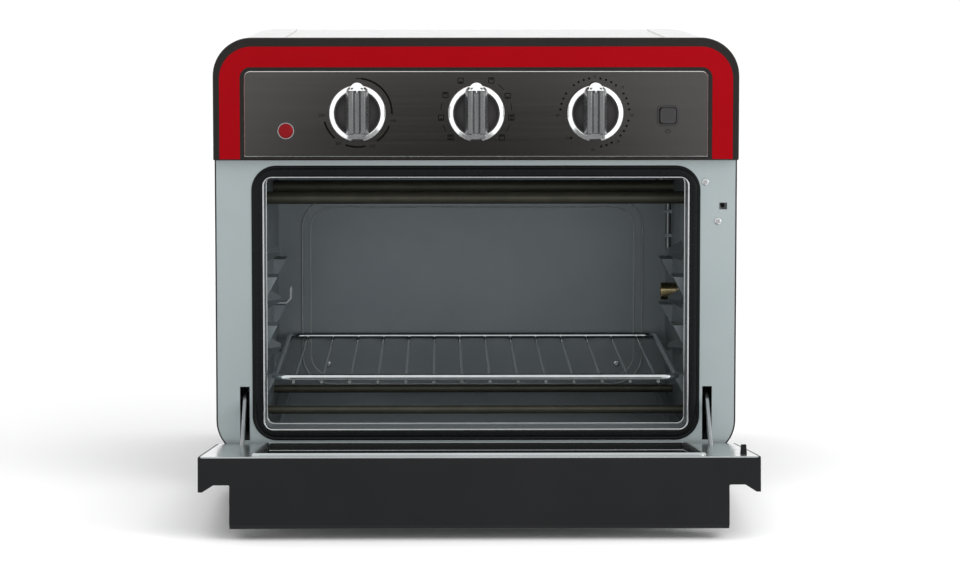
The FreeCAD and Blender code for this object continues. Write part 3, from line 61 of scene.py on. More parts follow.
# ---- helpers: meshes ---------------------------------------------------------------------------
def mesh_object(name, verts, faces, sharp_deg=35.0):
    mesh = bpy.data.meshes.new(name)
    mesh.from_pydata([Vector(v) for v in verts], [], faces)
    return finished_object(name, mesh, sharp_deg)


def finished_object(name, mesh, sharp_deg=35.0):
    work = bmesh.new()
    work.from_mesh(mesh)
    bmesh.ops.recalc_face_normals(work, faces=work.faces)
    work.to_mesh(mesh)
    work.free()
    mesh.polygons.foreach_set("use_smooth", [True] * len(mesh.polygons))
    mesh.set_sharp_from_angle(angle=math.radians(sharp_deg))
    obj = bpy.data.objects.new(name, mesh)
    bpy.context.scene.collection.objects.link(obj)
    return obj


def piece(obj, body, material, replaces=()):
    """Makes obj a piece of the part: it rides on a body and takes a finish."""
    obj.data.materials.clear()
    obj.data.materials.append(material)
    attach(obj, body)
    if replaces:
        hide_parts(*replaces)
    return obj


def bevel(obj, width, segments=2, angle_deg=35.0):
    """Rounds the sharp edges, as moulding and pressing leave them."""
    mod = obj.modifiers.new("soft edges", "BEVEL")
    mod.width = width
    mod.segments = segments
    mod.limit_method = "ANGLE"
    mod.angle_limit = math.radians(angle_deg)
    mod.harden_normals = True
    return obj


def soften(node, width, segments=2, angle_deg=35.0):
    """The same for a piece that keeps its own mesh."""
    obj = nodes[node]
    weld = obj.modifiers.new("weld", "WELD")
    weld.merge_threshold = WELD_NEAR
    bevel(obj, width, segments, angle_deg)
    obj.modifiers.new("normals", "WEIGHTED_NORMAL").keep_sharp = True
    return obj


def join_meshes(name, parts, sharp_deg=35.0):
    """One mesh from several (verts, faces) lists."""
    verts = []
    faces = []
    for part_verts, part_faces in parts:
        base = len(verts)
        verts += part_verts
        faces += [tuple(base + i for i in face) for face in part_faces]
    return mesh_object(name, verts, faces, sharp_deg)


def skin(rings, ring_closed=True, path_closed=False):
    """Faces between rings of points; an open path of closed rings gets end faces."""
    count = len(rings)
    n = len(rings[0])
    verts = [point for ring in rings for point in ring]
    faces = []
    for i in range(count if path_closed else count - 1):
        a = i * n
        b = (i + 1) % count * n
        for j in range(n if ring_closed else n - 1):
            k = (j + 1) % n
            faces.append((a + j, a + k, b + k, b + j))
    if ring_closed and not path_closed:
        faces.append(tuple(range(n)))
        faces.append(tuple(range((count - 1) * n, count * n)))
    return verts, faces


def facing_user(x0, y0, z0):
    """Maps (x, z, depth) to space, with depth counted from y0 towards the user."""
    return lambda x, z, depth: Vector((x0 + x, y0 - depth, z0 + z))


def lathe(profile, place, steps=64, start_deg=0.0, turn_deg=360.0):
    """Turns a closed outline of (radius, depth) points about the axis, clockwise from the top."""
    whole = turn_deg == 360.0
    rings = []
    for i in range(steps if whole else steps + 1):
        angle = math.radians(start_deg + turn_deg * i / steps)
        rings.append([place(r * math.sin(angle), r * math.cos(angle), d) for r, d in profile])
    return skin(rings, True, whole)


def prism(outline, place, back, front):
    """A flat outline of (x, z) points; front may be a depth or a function of x and z."""
    depth = front if callable(front) else lambda x, z: front
    rings = [
        [place(x, z, back) for x, z in outline],
        [place(x, z, depth(x, z)) for x, z in outline],
    ]
    return skin(rings)


def tube(points, radius, sides=8, closed=False):
    """A round wire along a list of points."""
    rings = []
    side = Vector((1.0, 0.013, 0.017))
    count = len(points)
    for i, point in enumerate(points):
        before = points[i - 1] if closed else points[max(i - 1, 0)]
        after = points[(i + 1) % count] if closed else points[min(i + 1, count - 1)]
        ahead = (after - before).normalized()
        side = (side - ahead * side.dot(ahead)).normalized()
        other = ahead.cross(side)
        turns = [2 * math.pi * k / sides for k in range(sides)]
        rings.append([point + (side * math.cos(t) + other * math.sin(t)) * radius for t in turns])
    return skin(rings, True, closed)


def round_rectangle(x0, x1, z0, z1, r, steps=10):
    """Points (x, z, outward x, outward z) round a rectangle with round corners."""
    corners = (
        (x1 - r, z1 - r, 0), (x1 - r, z0 + r, 90), (x0 + r, z0 + r, 180), (x0 + r, z1 - r, 270),
    )
    points = []
    for cx, cz, first in corners:
        for i in range(steps + 1):
            angle = math.radians(first + 90.0 * i / steps)
            out_x, out_z = math.sin(angle), math.cos(angle)
            points.append((cx + r * out_x, cz + r * out_z, out_x, out_z))
    return points


def band(path, section, place):
    """A section of (outward, depth) points carried round a rectangle's path."""
    rings = [[place(x + ox * o, z + oz * o, d) for o, d in section] for x, z, ox, oz in path]
    return skin(rings, True, True)


def dome(radius, height, place, steps=20, rings=4):
    """A low round bump."""
    tip_r = 0.1 * MM
    profile = [(tip_r, 0.0)]
    for i in range(rings + 1):
        angle = math.pi / 2 * i / rings
        profile.append((max(radius * math.cos(angle), tip_r), height * math.sin(angle)))
    return lathe(profile, place, steps)


def moved(part, matrix):
    verts, faces = part
    return [matrix @ Vector(v) for v in verts], faces


def islands(node):
    """The corners of each separate solid in a node, as lists of points."""
    work = bmesh.new()
    work.from_mesh(nodes[node].data)
    bmesh.ops.remove_doubles(work, verts=work.verts, dist=NEAR)
    left = set(work.verts)
    groups = []
    for first in work.verts:
        if first not in left:
            continue
        left.remove(first)
        stack = [first]
        group = []
        while stack:
            vert = stack.pop()
            group.append(vert.co.copy())
            for edge in vert.link_edges:
                other = edge.other_vert(vert)
                if other in left:
                    left.remove(other)
                    stack.append(other)
        groups.append(group)
    work.free()
    return groups


def span(points):
    low = Vector([min(p[i] for p in points) for i in range(3)])
    high = Vector([max(p[i] for p in points) for i in range(3)])
    return low, high


# ---- helpers: materials ------------------------------------------------------------------------
class Finish:
    """A procedural material: two tones, a roughness range and a bump, all from noise."""

    def __init__(
        self, name, dark, light, rough, metal=0.0, coat=0.0, coat_rough=0.05, ior=1.5, specular=0.5
    ):
        self.material = bpy.data.materials.new(name)
        self.material.use_nodes = True
        tree = self.material.node_tree
        self.nodes = tree.nodes
        self.links = tree.links
        self.shader = self.nodes["Principled BSDF"]
        sockets = self.shader.inputs
        sockets["Metallic"].default_value = metal
        sockets["Coat Weight"].default_value = coat
        sockets["Coat Roughness"].default_value = coat_rough
        sockets["IOR"].default_value = ior
        sockets["Specular IOR Level"].default_value = specular
        self.coords = self.nodes.new("ShaderNodeTexCoord").outputs["Object"]
        self.dark = dark
        self.light = light
        self.rough = rough

    def noise(self, scale, detail=4.0, roughness=0.6):
        """Noise with its own scale, per metre, along each axis."""
        mapping = self.nodes.new("ShaderNodeMapping")
        mapping.inputs["Scale"].default_value = scale if hasattr(scale, "__len__") else (scale,) * 3
        self.links.new(self.coords, mapping.inputs["Vector"])
        noise = self.nodes.new("ShaderNodeTexNoise")
        noise.inputs["Scale"].default_value = 1.0
        noise.inputs["Detail"].default_value = detail
        noise.inputs["Roughness"].default_value = roughness
        self.links.new(mapping.outputs["Vector"], noise.inputs["Vector"])
        return noise.outputs["Fac"]

    def ramp(self, value, low, high, stops=(0.2, 0.8)):
        ramp = self.nodes.new("ShaderNodeValToRGB")
        for element, stop, tone in zip(ramp.color_ramp.elements, stops, (low, high)):
            element.position = stop
            element.color = (*tone, 1.0)
        self.links.new(value, ramp.inputs["Fac"])
        return ramp.outputs["Color"]

    def spread(self, value, low, high, source=(0.2, 0.8)):
        node = self.nodes.new("ShaderNodeMapRange")
        node.inputs["From Min"].default_value = source[0]
        node.inputs["From Max"].default_value = source[1]
        node.inputs["To Min"].default_value = low
        node.inputs["To Max"].default_value = high
        self.links.new(value, node.inputs["Value"])
        return node.outputs["Result"]

    def maths(self, operation, a, b):
        node = self.nodes.new("ShaderNodeMath")
        node.operation = operation
        for socket, value in zip(node.inputs, (a, b)):
            if isinstance(value, (int, float)):
                socket.default_value = value
            else:
                self.links.new(value, socket)
        return node.outputs["Value"]

    def mixed(self, factor, a, b):
        node = self.nodes.new("ShaderNodeMix")
        node.data_type = "RGBA"
        self.links.new(factor, node.inputs["Factor"])
        for socket, value in ((node.inputs["A"], a), (node.inputs["B"], b)):
            if isinstance(value, tuple):
                socket.default_value = (*value, 1.0)
            else:
                self.links.new(value, socket)
        return node.outputs["Result"]

    def facing(self, axis):
        """How far the surface turns away from an axis: 0 square on, 1 edge on."""
        geometry = self.nodes.new("ShaderNodeNewGeometry")
        dot = self.nodes.new("ShaderNodeVectorMath")
        dot.operation = "DOT_PRODUCT"
        self.links.new(geometry.outputs["Normal"], dot.inputs[0])
        dot.inputs[1].default_value = axis
        return self.maths("SUBTRACT", 1.0, self.maths("ABSOLUTE", dot.outputs["Value"], 0.0))

    def use(self, color=None, rough=None, bump=None, bump_mm=0.05, bump_strength=0.5):
        if color is not None:
            self.links.new(color, self.shader.inputs["Base Color"])
        if rough is not None:
            self.links.new(rough, self.shader.inputs["Roughness"])
        if bump is not None:
            node = self.nodes.new("ShaderNodeBump")
            node.inputs["Distance"].default_value = bump_mm * MM
            node.inputs["Strength"].default_value = bump_strength
            self.links.new(bump, node.inputs["Height"])
            self.links.new(node.outputs["Normal"], self.shader.inputs["Normal"])
        return self.material

    def plain(self, tone_scale=40.0, grain=1500.0, bump_mm=0.02, bump_strength=0.4):
        """Cloudy tone, a handling haze in the gloss, and a fine grain."""
        clouds = self.noise(tone_scale)
        fine = self.noise(grain, detail=2.0)
        haze = self.noise(tone_scale * 2.3, detail=6.0)
        return self.use(
            self.ramp(clouds, self.dark, self.light),
            self.spread(haze, *self.rough),
            fine,
            bump_mm,
            bump_strength,
        )

    def brushed(self, along, long_scale=12.0, fine_scale=2600.0, bump_mm=0.01, bump_strength=0.3):
        """Fine parallel lines along one axis: 0, 1 or 2."""
        scale = [fine_scale] * 3
        scale[along] = long_scale
        lines = self.noise(tuple(scale), detail=3.0)
        wide = [fine_scale * 0.12] * 3
        wide[along] = long_scale * 0.5
        bands = self.noise(tuple(wide), detail=2.0)
        both = self.maths("MULTIPLY", self.maths("ADD", lines, bands), 0.5)
        return self.use(
            self.ramp(both, self.dark, self.light),
            self.spread(both, *self.rough),
            lines,
            bump_mm,
            bump_strength,
        )


def make_materials():
    """Each finish: name, dark and light tone, gloss range, shader sockets, then its noise."""
    made = {}
    made["shell"] = Finish(
        "gloss black enamel", (0.006, 0.006, 0.0065), (0.009, 0.009, 0.0095), (0.08, 0.16), coat=0.3
    ).plain(tone_scale=25.0, grain=260.0, bump_mm=0.02, bump_strength=0.15)
    made["zinc"] = Finish(
        "zinc plated steel", (0.42, 0.43, 0.44), (0.56, 0.57, 0.57), (0.32, 0.5), metal=1.0
    ).plain(tone_scale=90.0, grain=500.0)
    made["silver"] = Finish(
        "satin silver paint", (0.31, 0.356, 0.363), (0.355, 0.401, 0.407), (0.3, 0.38), metal=0.55
    ).plain(tone_scale=9.0, grain=2600.0, bump_mm=0.012, bump_strength=0.35)
    made["door steel"] = Finish(
        "door liner steel", (0.42, 0.45, 0.455), (0.5, 0.53, 0.535), (0.14, 0.2), metal=0.9
    ).plain(tone_scale=12.0, grain=900.0, bump_mm=0.01, bump_strength=0.2)
    made["rubber"] = Finish(
        "foot rubber", (0.02, 0.02, 0.02), (0.03, 0.03, 0.03), (0.65, 0.8)
    ).plain(bump_mm=0.05)
    made["screw"] = Finish(
        "nickel screw", (0.55, 0.56, 0.57), (0.68, 0.69, 0.7), (0.16, 0.28), metal=1.0
    ).plain(tone_scale=300.0, grain=2500.0)
    made["dark plastic"] = Finish(
        "satin dark plastic", (0.0085, 0.0088, 0.0095), (0.0115, 0.0118, 0.0125), (0.34, 0.42),
        specular=0.08
    ).plain(tone_scale=14.0, grain=2200.0, bump_mm=0.02, bump_strength=0.3)
    made["trim"] = Finish(
        "head trim plastic", (0.012, 0.0105, 0.01), (0.015, 0.0135, 0.0125), (0.22, 0.3),
        specular=0.12
    ).plain(tone_scale=14.0, grain=2200.0, bump_mm=0.015, bump_strength=0.2)
    made["red"] = Finish(
        "metallic red", (0.27, 0.0006, 0.0035), (0.325, 0.0011, 0.005), (0.3, 0.38),
        metal=0.55, coat=0.06, coat_rough=0.08, specular=0.06
    ).plain(tone_scale=7.0, grain=4200.0, bump_mm=0.008, bump_strength=0.25)
    made["chrome"] = Finish(
        "chrome plate", (0.9, 0.91, 0.92), (0.95, 0.96, 0.96), (0.1, 0.15), metal=0.75
    ).plain(tone_scale=120.0, grain=1800.0, bump_mm=0.004, bump_strength=0.2)
    made["lens"] = Finish(
        "red lens", (0.13, 0.0004, 0.002), (0.19, 0.001, 0.004), (0.2, 0.28), specular=0.15
    ).plain(tone_scale=300.0, grain=900.0, bump_mm=0.05, bump_strength=0.3)
    made["part"] = Finish(
        "moulded part", (0.1, 0.1, 0.1), (0.14, 0.14, 0.135), (0.45, 0.6)
    ).plain()
    made["button"] = Finish(
        "button plastic", (0.016, 0.015, 0.016), (0.02, 0.019, 0.02), (0.3, 0.4)
    ).plain(tone_scale=60.0, bump_mm=0.015)
    made["knob"] = Finish(
        "knob lacquer", (0.12, 0.122, 0.125), (0.16, 0.162, 0.165), (0.24, 0.3),
        metal=0.7, coat=0.3, coat_rough=0.12
    ).plain(tone_scale=80.0, grain=3000.0, bump_mm=0.008)
    made["dish"] = Finish(
        "knob dish", (0.01, 0.0085, 0.0085), (0.014, 0.012, 0.012), (0.25, 0.34)
    ).plain(tone_scale=80.0)
    # Bright steel for the shafts, arms, springs and thermostat; on the collar beads it is a painted
    # highlight, lighter than the collar's coating.
    made["bright steel and painted bead highlight"] = Finish(
        "bright steel and painted bead highlight", (0.5, 0.51, 0.52), (0.62, 0.63, 0.64), (0.16, 0.3), metal=1.0
    ).plain(tone_scale=150.0, grain=900.0)
    made["cavity"] = Finish(
        "cavity coating", (0.178, 0.208, 0.222), (0.218, 0.248, 0.262), (0.26, 0.38), metal=0.45
    ).plain(tone_scale=11.0, grain=1800.0, bump_mm=0.02, bump_strength=0.3)
    made["seal"] = Finish(
        "seal rubber", (0.004, 0.0048, 0.005), (0.006, 0.0068, 0.0072), (0.22, 0.3), specular=0.1
    ).plain(tone_scale=60.0, grain=1200.0)
    # Lighter than the cavity coating: a painted highlight along the back wall's bead ridges.
    made["pressed edge"] = Finish(
        "pressed edge", (0.34, 0.37, 0.38), (0.4, 0.43, 0.44), (0.3, 0.4), metal=0.3
    ).plain(tone_scale=11.0, grain=1800.0)
    made["dull steel"] = Finish(
        "dull steel", (0.16, 0.17, 0.175), (0.22, 0.23, 0.235), (0.28, 0.4), metal=1.0
    ).plain(tone_scale=90.0, grain=900.0)
    made["element"] = Finish(
        "element tube", (0.05, 0.049, 0.037), (0.075, 0.073, 0.056), (0.4, 0.5), metal=0.6
    ).plain(tone_scale=60.0, grain=1500.0)
    made["ceramic"] = Finish(
        "ceramic", (0.74, 0.71, 0.64), (0.82, 0.8, 0.74), (0.2, 0.35)
    ).plain()
    made["brass"] = Finish(
        "turned brass", (0.42, 0.33, 0.17), (0.62, 0.5, 0.28), (0.16, 0.26), metal=1.0
    ).brushed(1, long_scale=120.0, fine_scale=1800.0)
    made["rack"] = Finish(
        "rack chrome", (0.5, 0.53, 0.54), (0.62, 0.65, 0.66), (0.08, 0.18), metal=1.0
    ).plain(tone_scale=90.0, grain=1200.0)
    made["ink"] = Finish(
        "printed ink", (0.0015, 0.0015, 0.0015), (0.003, 0.003, 0.003), (0.5, 0.6), specular=0.05
    ).plain()
    made["panel"] = panel_material()
    made["clear glass"] = glass_material("clear glass", (0.95, 0.97, 0.97), 0.02)
    made["smoked glass"] = glass_material("smoked glass", (0.2, 0.215, 0.22), 0.004)
    return made


def panel_material():
    """Dark brushed plate whose bevelled edge is bare and bright."""
    finish = Finish(
        "brushed plate", (0.108, 0.105, 0.1), (0.142, 0.138, 0.132), (0.08, 0.12), metal=0.97
    )
    bare = (0.75, 0.76, 0.76)
    lines = finish.noise((10.0, 3000.0, 3000.0), detail=3.0)
    bands = finish.noise((4.0, 420.0, 420.0), detail=2.0)
    both = finish.maths("MULTIPLY", finish.maths("ADD", lines, bands), 0.5)
    edge = finish.spread(finish.facing((0.0, 1.0, 0.0)), 0.0, 1.0, (0.08, 0.2))
    tone = finish.mixed(edge, finish.ramp(both, finish.dark, finish.light), bare)
    return finish.use(tone, finish.spread(both, *finish.rough), lines, 0.004, 0.2)


def glass_material(name, tint, rough):
    finish = Finish(name, tint, tint, (rough, rough * 2.5), ior=1.5)
    finish.shader.inputs["Transmission Weight"].default_value = 1.0
    finish.shader.inputs["Base Color"].default_value = (*tint, 1.0)
    smears = finish.noise(35.0, detail=6.0)
    waves = finish.noise(9.0, detail=1.0)
    return finish.use(None, finish.spread(smears, *finish.rough), waves, 0.02, 0.1)


M = make_materials()


def finish_nodes():
    """Every piece that keeps its own mesh gets its finish here."""
    wanted = {
        "shell": ("outer_shell",),
        "zinc": ("base_pan", "rear_cover", "hinge_brackets", "door_switch"),
        "silver": ("front_frame",),
        "door steel": ("door_inner_panel",),
        "rubber": ("feet",),
        "screw": ("case_screws", "hinge_pins"),
        "dark plastic": (
            "door_frame", "door_handle", "switch_peg", "cord_gland", "switch_plunger",
        ),
        "trim": ("control_housing",),
        "red": ("red_band",),
        "panel": ("control_panel",),
        "chrome": (
            "indicator_bezel", "temperature_knob_ring", "function_knob_ring", "timer_knob_ring",
        ),
        "lens": ("indicator_lens",),
        "part": ("indicator_lamp", "lamp_switch", "terminal_block", "function_switch", "timer"),
        "button": ("button_bezel", "lamp_button"),
        "knob": ("temperature_knob", "function_knob", "timer_knob"),
        "bright steel and painted bead highlight": (
            "temperature_shaft", "function_shaft", "timer_shaft", "thermostat", "rotisserie_motor",
            "hinge_arms", "door_springs", "spit_support",
        ),
        "dull steel": ("thermostat_bulb",),
        "cavity": (
            "cavity_collar", "cavity_left_wall", "cavity_right_wall", "cavity_roof", "cavity_floor",
            "cavity_back", "crumb_tray",
        ),
        "seal": ("door_gasket",),
        "element": ("upper_elements", "lower_elements"),
        "ceramic": ("element_insulators", "lamp_holder"),
        "clear glass": ("lamp_cover", "lamp_bulb"),
        "brass": ("rotisserie_coupling",),
        "rack": ("wire_rack",),
        "smoked glass": ("door_inner_glass", "door_outer_glass"),
    }
    for name, members in wanted.items():
        for member in members:
            obj = nodes[member]
            obj.data.materials.clear()
            obj.data.materials.append(M[name])


# ---- detailed pieces: controls -----------------------------------------------------------------
KNOBS = ("temperature", "function", "timer")
PLATE_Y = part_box("control_panel")[0].y
INK_T = 0.00005


def knob_centre(name):
    low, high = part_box(name + "_knob_ring")
    return (low + high) / 2


def smooth_steps(values, steps):
    """A rounded line through corner points, as each corner eased by its neighbours."""
    points = list(values)
    for _ in range(steps):
        eased = [points[0]]
        for (ax, ay), (bx, by) in zip(points, points[1:]):
            eased.append((ax * 0.75 + bx * 0.25, ay * 0.75 + by * 0.25))
            eased.append((ax * 0.25 + bx * 0.75, ay * 0.25 + by * 0.75))
        eased.append(points[-1])
        points = eased
    return points


def make_knob(name):
    """Skirt with a dished face, a ridged grip, and the plated ring with its tip and heel."""
    centre = knob_centre(name)
    body = name + "_control"
    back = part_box(name + "_knob")[1].y
    place = facing_user(centre.x, back, centre.z)

    skirt_r, ring_back, lip_r, lip = 20.8, 7.0, 17.3, 10.5
    skirt = [
        (0.2, 0.0), (skirt_r, 0.0), (skirt_r, ring_back), (lip_r, ring_back + 0.2), (lip_r, lip),
        (16.6, lip + 0.2), (15.5, lip - 0.5), (11.0, lip - 1.5), (0.2, lip - 1.9),
    ]
    skirt = [(r * MM, d * MM) for r, d in skirt]
    obj = join_meshes(name + "_knob_skirt", [lathe(skirt, place, 96)], 30.0)
    piece(obj, body, M["dish"], (name + "_knob",))

    seat = 8.0
    flank = [(9.1, seat), (8.7, 13.2), (6.9, 19.2), (6.3, 21.6), (3.2, 21.7), (1.7, 19.0), (0.0, 18.8)]
    half_section = smooth_steps(flank, 2)
    section = half_section + [(-x, d) for x, d in reversed(half_section[:-1])]
    along = (
        (-15.6, 0.965, -2.2), (-15.2, 0.99, -0.5), (-14.4, 1.0, 0.0), (13.2, 1.0, 0.0),
        (16.2, 0.97, -0.3), (18.4, 0.88, -1.0), (19.8, 0.72, -2.2),
    )
    rings = []
    for z, wide, deep in along:
        ring = [place(x * wide * MM, z * MM, max(d + deep, seat) * MM) for x, d in section]
        rings.append(ring)
    obj = join_meshes(name + "_knob_grip", [skin(rings)], 40.0)
    piece(obj, body, M["knob"])

    gap_deg, outer, inner = 12.5, 21.4, 17.5
    ring = [
        (inner, 7.2), (outer - 0.1, 7.2), (outer, 8.2), (outer - 0.15, 9.0), (outer - 0.5, 9.6),
        (inner + 0.7, 11.1), (inner + 0.25, 11.0), (inner, 10.6),
    ]
    ring = [(r * MM, d * MM) for r, d in ring]
    parts = [lathe(ring, place, 120, 180.0 + gap_deg, 360.0 - 2 * gap_deg)]
    parts.append(prism(tip_outline(), place, 9.0 * MM, tip_slope))
    half, heel_top, heel_low = 6.8 * MM, -15.1 * MM, -19.3 * MM
    cut, rise = 0.5 * MM, 0.4 * MM
    heel = [
        (-half, heel_top), (half, heel_top), (half, heel_low + rise),
        (half - cut, heel_low), (-half + cut, heel_low), (-half, heel_low + rise),
    ]
    parts.append(prism(heel, place, seat * MM, heel_slope))
    chrome = join_meshes(name + "_knob_ring_plated", parts, 40.0)
    piece(chrome, body, M["chrome"], (name + "_knob_ring",))
    bevel(chrome, 0.35 * MM, 2, 40.0)

    half, top, point, ridge, fall = 1.7 * MM, 21.6 * MM, 15.8 * MM, 20.6 * MM, 0.6
    outline = [(-half, top), (half, top), (0.0, point)]
    arrow = prism(outline, place, 18.0 * MM, lambda x, z: ridge - abs(x) * fall)
    spine = [place(0.0, top, 19.6 * MM), place(0.0, point, 20.4 * MM)]
    obj = join_meshes(name + "_knob_pointer", [arrow, tube(spine, 0.25 * MM, 6)], 20.0)
    piece(obj, body, M["chrome"])


def tip_outline():
    """The plated tip: a round nose on a flared root."""
    half, root, nose, flare = 5.2, 17.6, 18.4, 6.6
    outline = [(-flare, root), (-half, root + 1.2)]
    for i in range(13):
        angle = math.pi * (1.0 - i / 12)
        outline.append((half * math.cos(angle), nose + 5.0 * math.sin(angle)))
    outline += [(half, root + 1.2), (flare, root)]
    return [(x * MM, z * MM) for x, z in outline]


def tip_slope(x, z):
    """The tip's front falls away towards its nose."""
    start, front, fall = 18.0 * MM, 21.0 * MM, 1.1
    return front - max(z - start, 0.0) * fall


def heel_slope(x, z):
    """The heel's front is high beside the grip and low at the ring."""
    grip_end, high, low = -16.0 * MM, 20.2 * MM, 14.0 * MM
    return high if z > grip_end else low


def arc_band(place, r, width, first_deg, last_deg, thick=INK_T):
    """A thin printed arc, clockwise from the top."""
    inner, outer, step_deg = r - width / 2, r + width / 2, 3
    section = [(inner, 0.0), (outer, 0.0), (outer, thick), (inner, thick)]
    steps = max(int(abs(last_deg - first_deg) / step_deg), 2)
    return lathe(section, place, steps, first_deg, last_deg - first_deg)


def spot(place, x, z, radius):
    turns = [a * math.pi / 6 for a in range(12)]
    outline = [(x + radius * math.cos(a), z + radius * math.sin(a)) for a in turns]
    return prism(outline, place, 0.0, INK_T)


def bar(place, x, z, half_w, half_h):
    left, right, low, high = x - half_w, x + half_w, z - half_h, z + half_h
    outline = [(left, low), (right, low), (right, high), (left, high)]
    return prism(outline, place, 0.0, INK_T)


def number(place, value, r, angle_deg, height):
    """A number printed upright, centred at an angle clockwise from the top."""
    curve = bpy.data.curves.new("number", "FONT")
    curve.body = str(value)
    curve.size = height
    curve.align_x = "CENTER"
    curve.align_y = "CENTER"
    curve.resolution_u = 2
    curve.extrude = INK_T / 2
    text = bpy.data.objects.new("number", curve)
    mesh = bpy.data.meshes.new_from_object(text)
    x0 = r * math.sin(math.radians(angle_deg))
    z0 = r * math.cos(math.radians(angle_deg))
    verts = [place(x0 + v.co.x, z0 + v.co.y, INK_T / 2 + v.co.z) for v in mesh.vertices]
    faces = [tuple(p.vertices) for p in mesh.polygons]
    bpy.data.objects.remove(text)
    bpy.data.curves.remove(curve)
    bpy.data.meshes.remove(mesh)
    return verts, faces


def temperature_marks(place):
    r, width = 26.0 * MM, 1.35 * MM
    arcs = ((6, 92), (113, 146), (167, 201), (222, 255))
    parts = [arc_band(place, r, width, first, last) for first, last in arcs]
    parts.append(arc_band(place, r, 0.6 * MM, -3, 6))
    numbers = ((100, 103), (150, 157), (200, 212), (250, 266))
    return parts + [number(place, value, 27.6 * MM, angle, 3.2 * MM) for value, angle in numbers]


def timer_marks(place):
    r, dot_r, step, minutes = 26.2 * MM, 0.9 * MM, 9.4, 10
    parts = []
    for i in range(-9, 19):
        if i % 5:
            angle = math.radians(i * step)
            parts.append(spot(place, r * math.sin(angle), r * math.cos(angle), dot_r))
    last = math.radians(223.0)
    parts.append(spot(place, r * math.sin(last), r * math.cos(last), dot_r))
    for i, angle in enumerate((0, 47, 94, 141, 183, 227, 266)):
        reach = 28.2 if angle else 27.2
        parts.append(number(place, i * minutes, reach * MM, angle, 2.8 * MM))
    return parts


def function_marks(place):
    """Plain signs for the heating modes: bars for the elements that are on."""
    parts = []
    r, side, line = 27.0 * MM, 2.0 * MM, 0.3 * MM
    modes = (
        (25, "u"), (62, "l"), (98, "ul"), (134, "u"), (226, "ul"), (262, "l"), (300, "u"), (334, "l"),
    )
    frame_bars = ((0, 1, side, line), (0, -1, side, line), (1, 0, line, side), (-1, 0, line, side))
    middle, half_w, half_h = side * 0.5, side * 0.6, line * 1.6
    for angle, elements in modes:
        x = r * math.sin(math.radians(angle))
        z = r * math.cos(math.radians(angle))
        for sx, sz, w, h in frame_bars:
            parts.append(bar(place, x + sx * side, z + sz * side, w, h))
        if "u" in elements:
            parts.append(bar(place, x, z + middle, half_w, half_h))
        if "l" in elements:
            parts.append(bar(place, x, z - middle, half_w, half_h))
    for first in (38, 74, 110, 238, 274):
        parts.append(arc_band(place, r, 0.5 * MM, first, first + 12))
    return parts


def lamp_mark():
    """A small bulb sign under the lamp button."""
    low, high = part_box("button_bezel")
    place = facing_user((low.x + high.x) / 2, PLATE_Y, low.z - 4.2 * MM)
    r, line = 1.5 * MM, 0.4 * MM
    parts = [arc_band(place, r, line, -140, 140), bar(place, 0.0, -1.75 * MM, 0.7 * MM, 0.2 * MM)]
    for angle in (-90, -45, 0, 45, 90):
        x, z = math.sin(math.radians(angle)), math.cos(math.radians(angle))
        parts.append(spot(place, x * r * 1.8, z * r * 1.8, 0.22 * MM))
    return parts


def make_dials():
    marks = {"temperature": temperature_marks, "function": function_marks, "timer": timer_marks}
    parts = lamp_mark()
    for name in KNOBS:
        centre = knob_centre(name)
        parts += marks[name](facing_user(centre.x, PLATE_Y, centre.z))
    piece(join_meshes("dial_markings", parts), "body", M["ink"])


def make_indicator():
    """Domed lens in a thin plated rim."""
    low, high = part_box("indicator_bezel")
    centre = (low + high) / 2
    place = facing_user(centre.x, PLATE_Y, centre.z)
    outer = (high.x - low.x) / 2
    proud, rim, seat = PLATE_Y - low.y, 0.75 * MM, 0.2 * MM
    inner, edge = outer - 1.6 * MM, outer - 0.3 * MM
    section = [
        (inner, seat), (outer, seat), (outer, proud - 0.5 * MM), (edge, proud),
        (outer - rim, proud), (outer - rim, proud - 0.7 * MM), (inner, proud - 0.9 * MM),
    ]
    chrome = join_meshes("indicator_bezel_plated", [lathe(section, place, 48)], 40.0)
    piece(chrome, "body", M["screw"], ("indicator_bezel",))
    lens_r, back, base = outer - rim - 0.1 * MM, proud - 0.65 * MM, proud - 0.35 * MM
    tip_r, rise, rings = 0.01 * MM, 0.9 * MM, 5
    profile = [(tip_r, back), (lens_r, back), (lens_r, base)]
    for i in range(1, rings + 1):
        angle = math.pi / 2 * i / rings
        profile.append((max(lens_r * math.cos(angle), tip_r), base + rise * math.sin(angle)))
    lens = join_meshes("indicator_lens_moulded", [lathe(profile, place, 48)], 40.0)
    piece(lens, "body", M["lens"], ("indicator_lens",))


def make_button():
    """Square button with soft corners in its frame."""
    for node, r, body, slot, proud in (
        ("button_bezel", 3.4, "body", "button_plastic", 0.5),
        ("lamp_button", 2.4, "button", "button_plastic", 0.6),
    ):
        low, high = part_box(node)
        half = (high - low) / 2
        middle = (high + low) / 2
        place = facing_user(middle.x, high.y, middle.z)
        path = round_rectangle(-half.x, half.x, -half.z, half.z, r * MM)
        tall = high.y - low.y
        edge = proud * MM
        if node == "button_bezel":
            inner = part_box("lamp_button")
            wall = half.x - (inner[1].x - inner[0].x) / 2 - 0.35 * MM
            section = [
                (0.0, 0.0), (0.0, tall - edge), (-edge * 0.6, tall),
                (-wall + edge * 0.7, tall), (-wall, tall - edge), (-wall, 0.0),
            ]
            parts = [band(path, section, place)]
        else:
            rings = []
            soft = edge * 0.35
            for inset, depth in ((0.0, 0.0), (0.0, tall - edge), (soft, tall - soft), (edge, tall)):
                rings.append([place(x - ox * inset, z - oz * inset, depth) for x, z, ox, oz in path])
            dish = 0.25 * MM
            for share in (0.8, 0.4, 0.1):
                depth = tall - dish * (1 - share)
                rings.append([place(x * share, z * share, depth) for x, z, _, _ in path])
            parts = [skin(rings)]
        obj = join_meshes(node + "_moulded", parts, 30.0)
        piece(obj, body, M["button"], (node,))


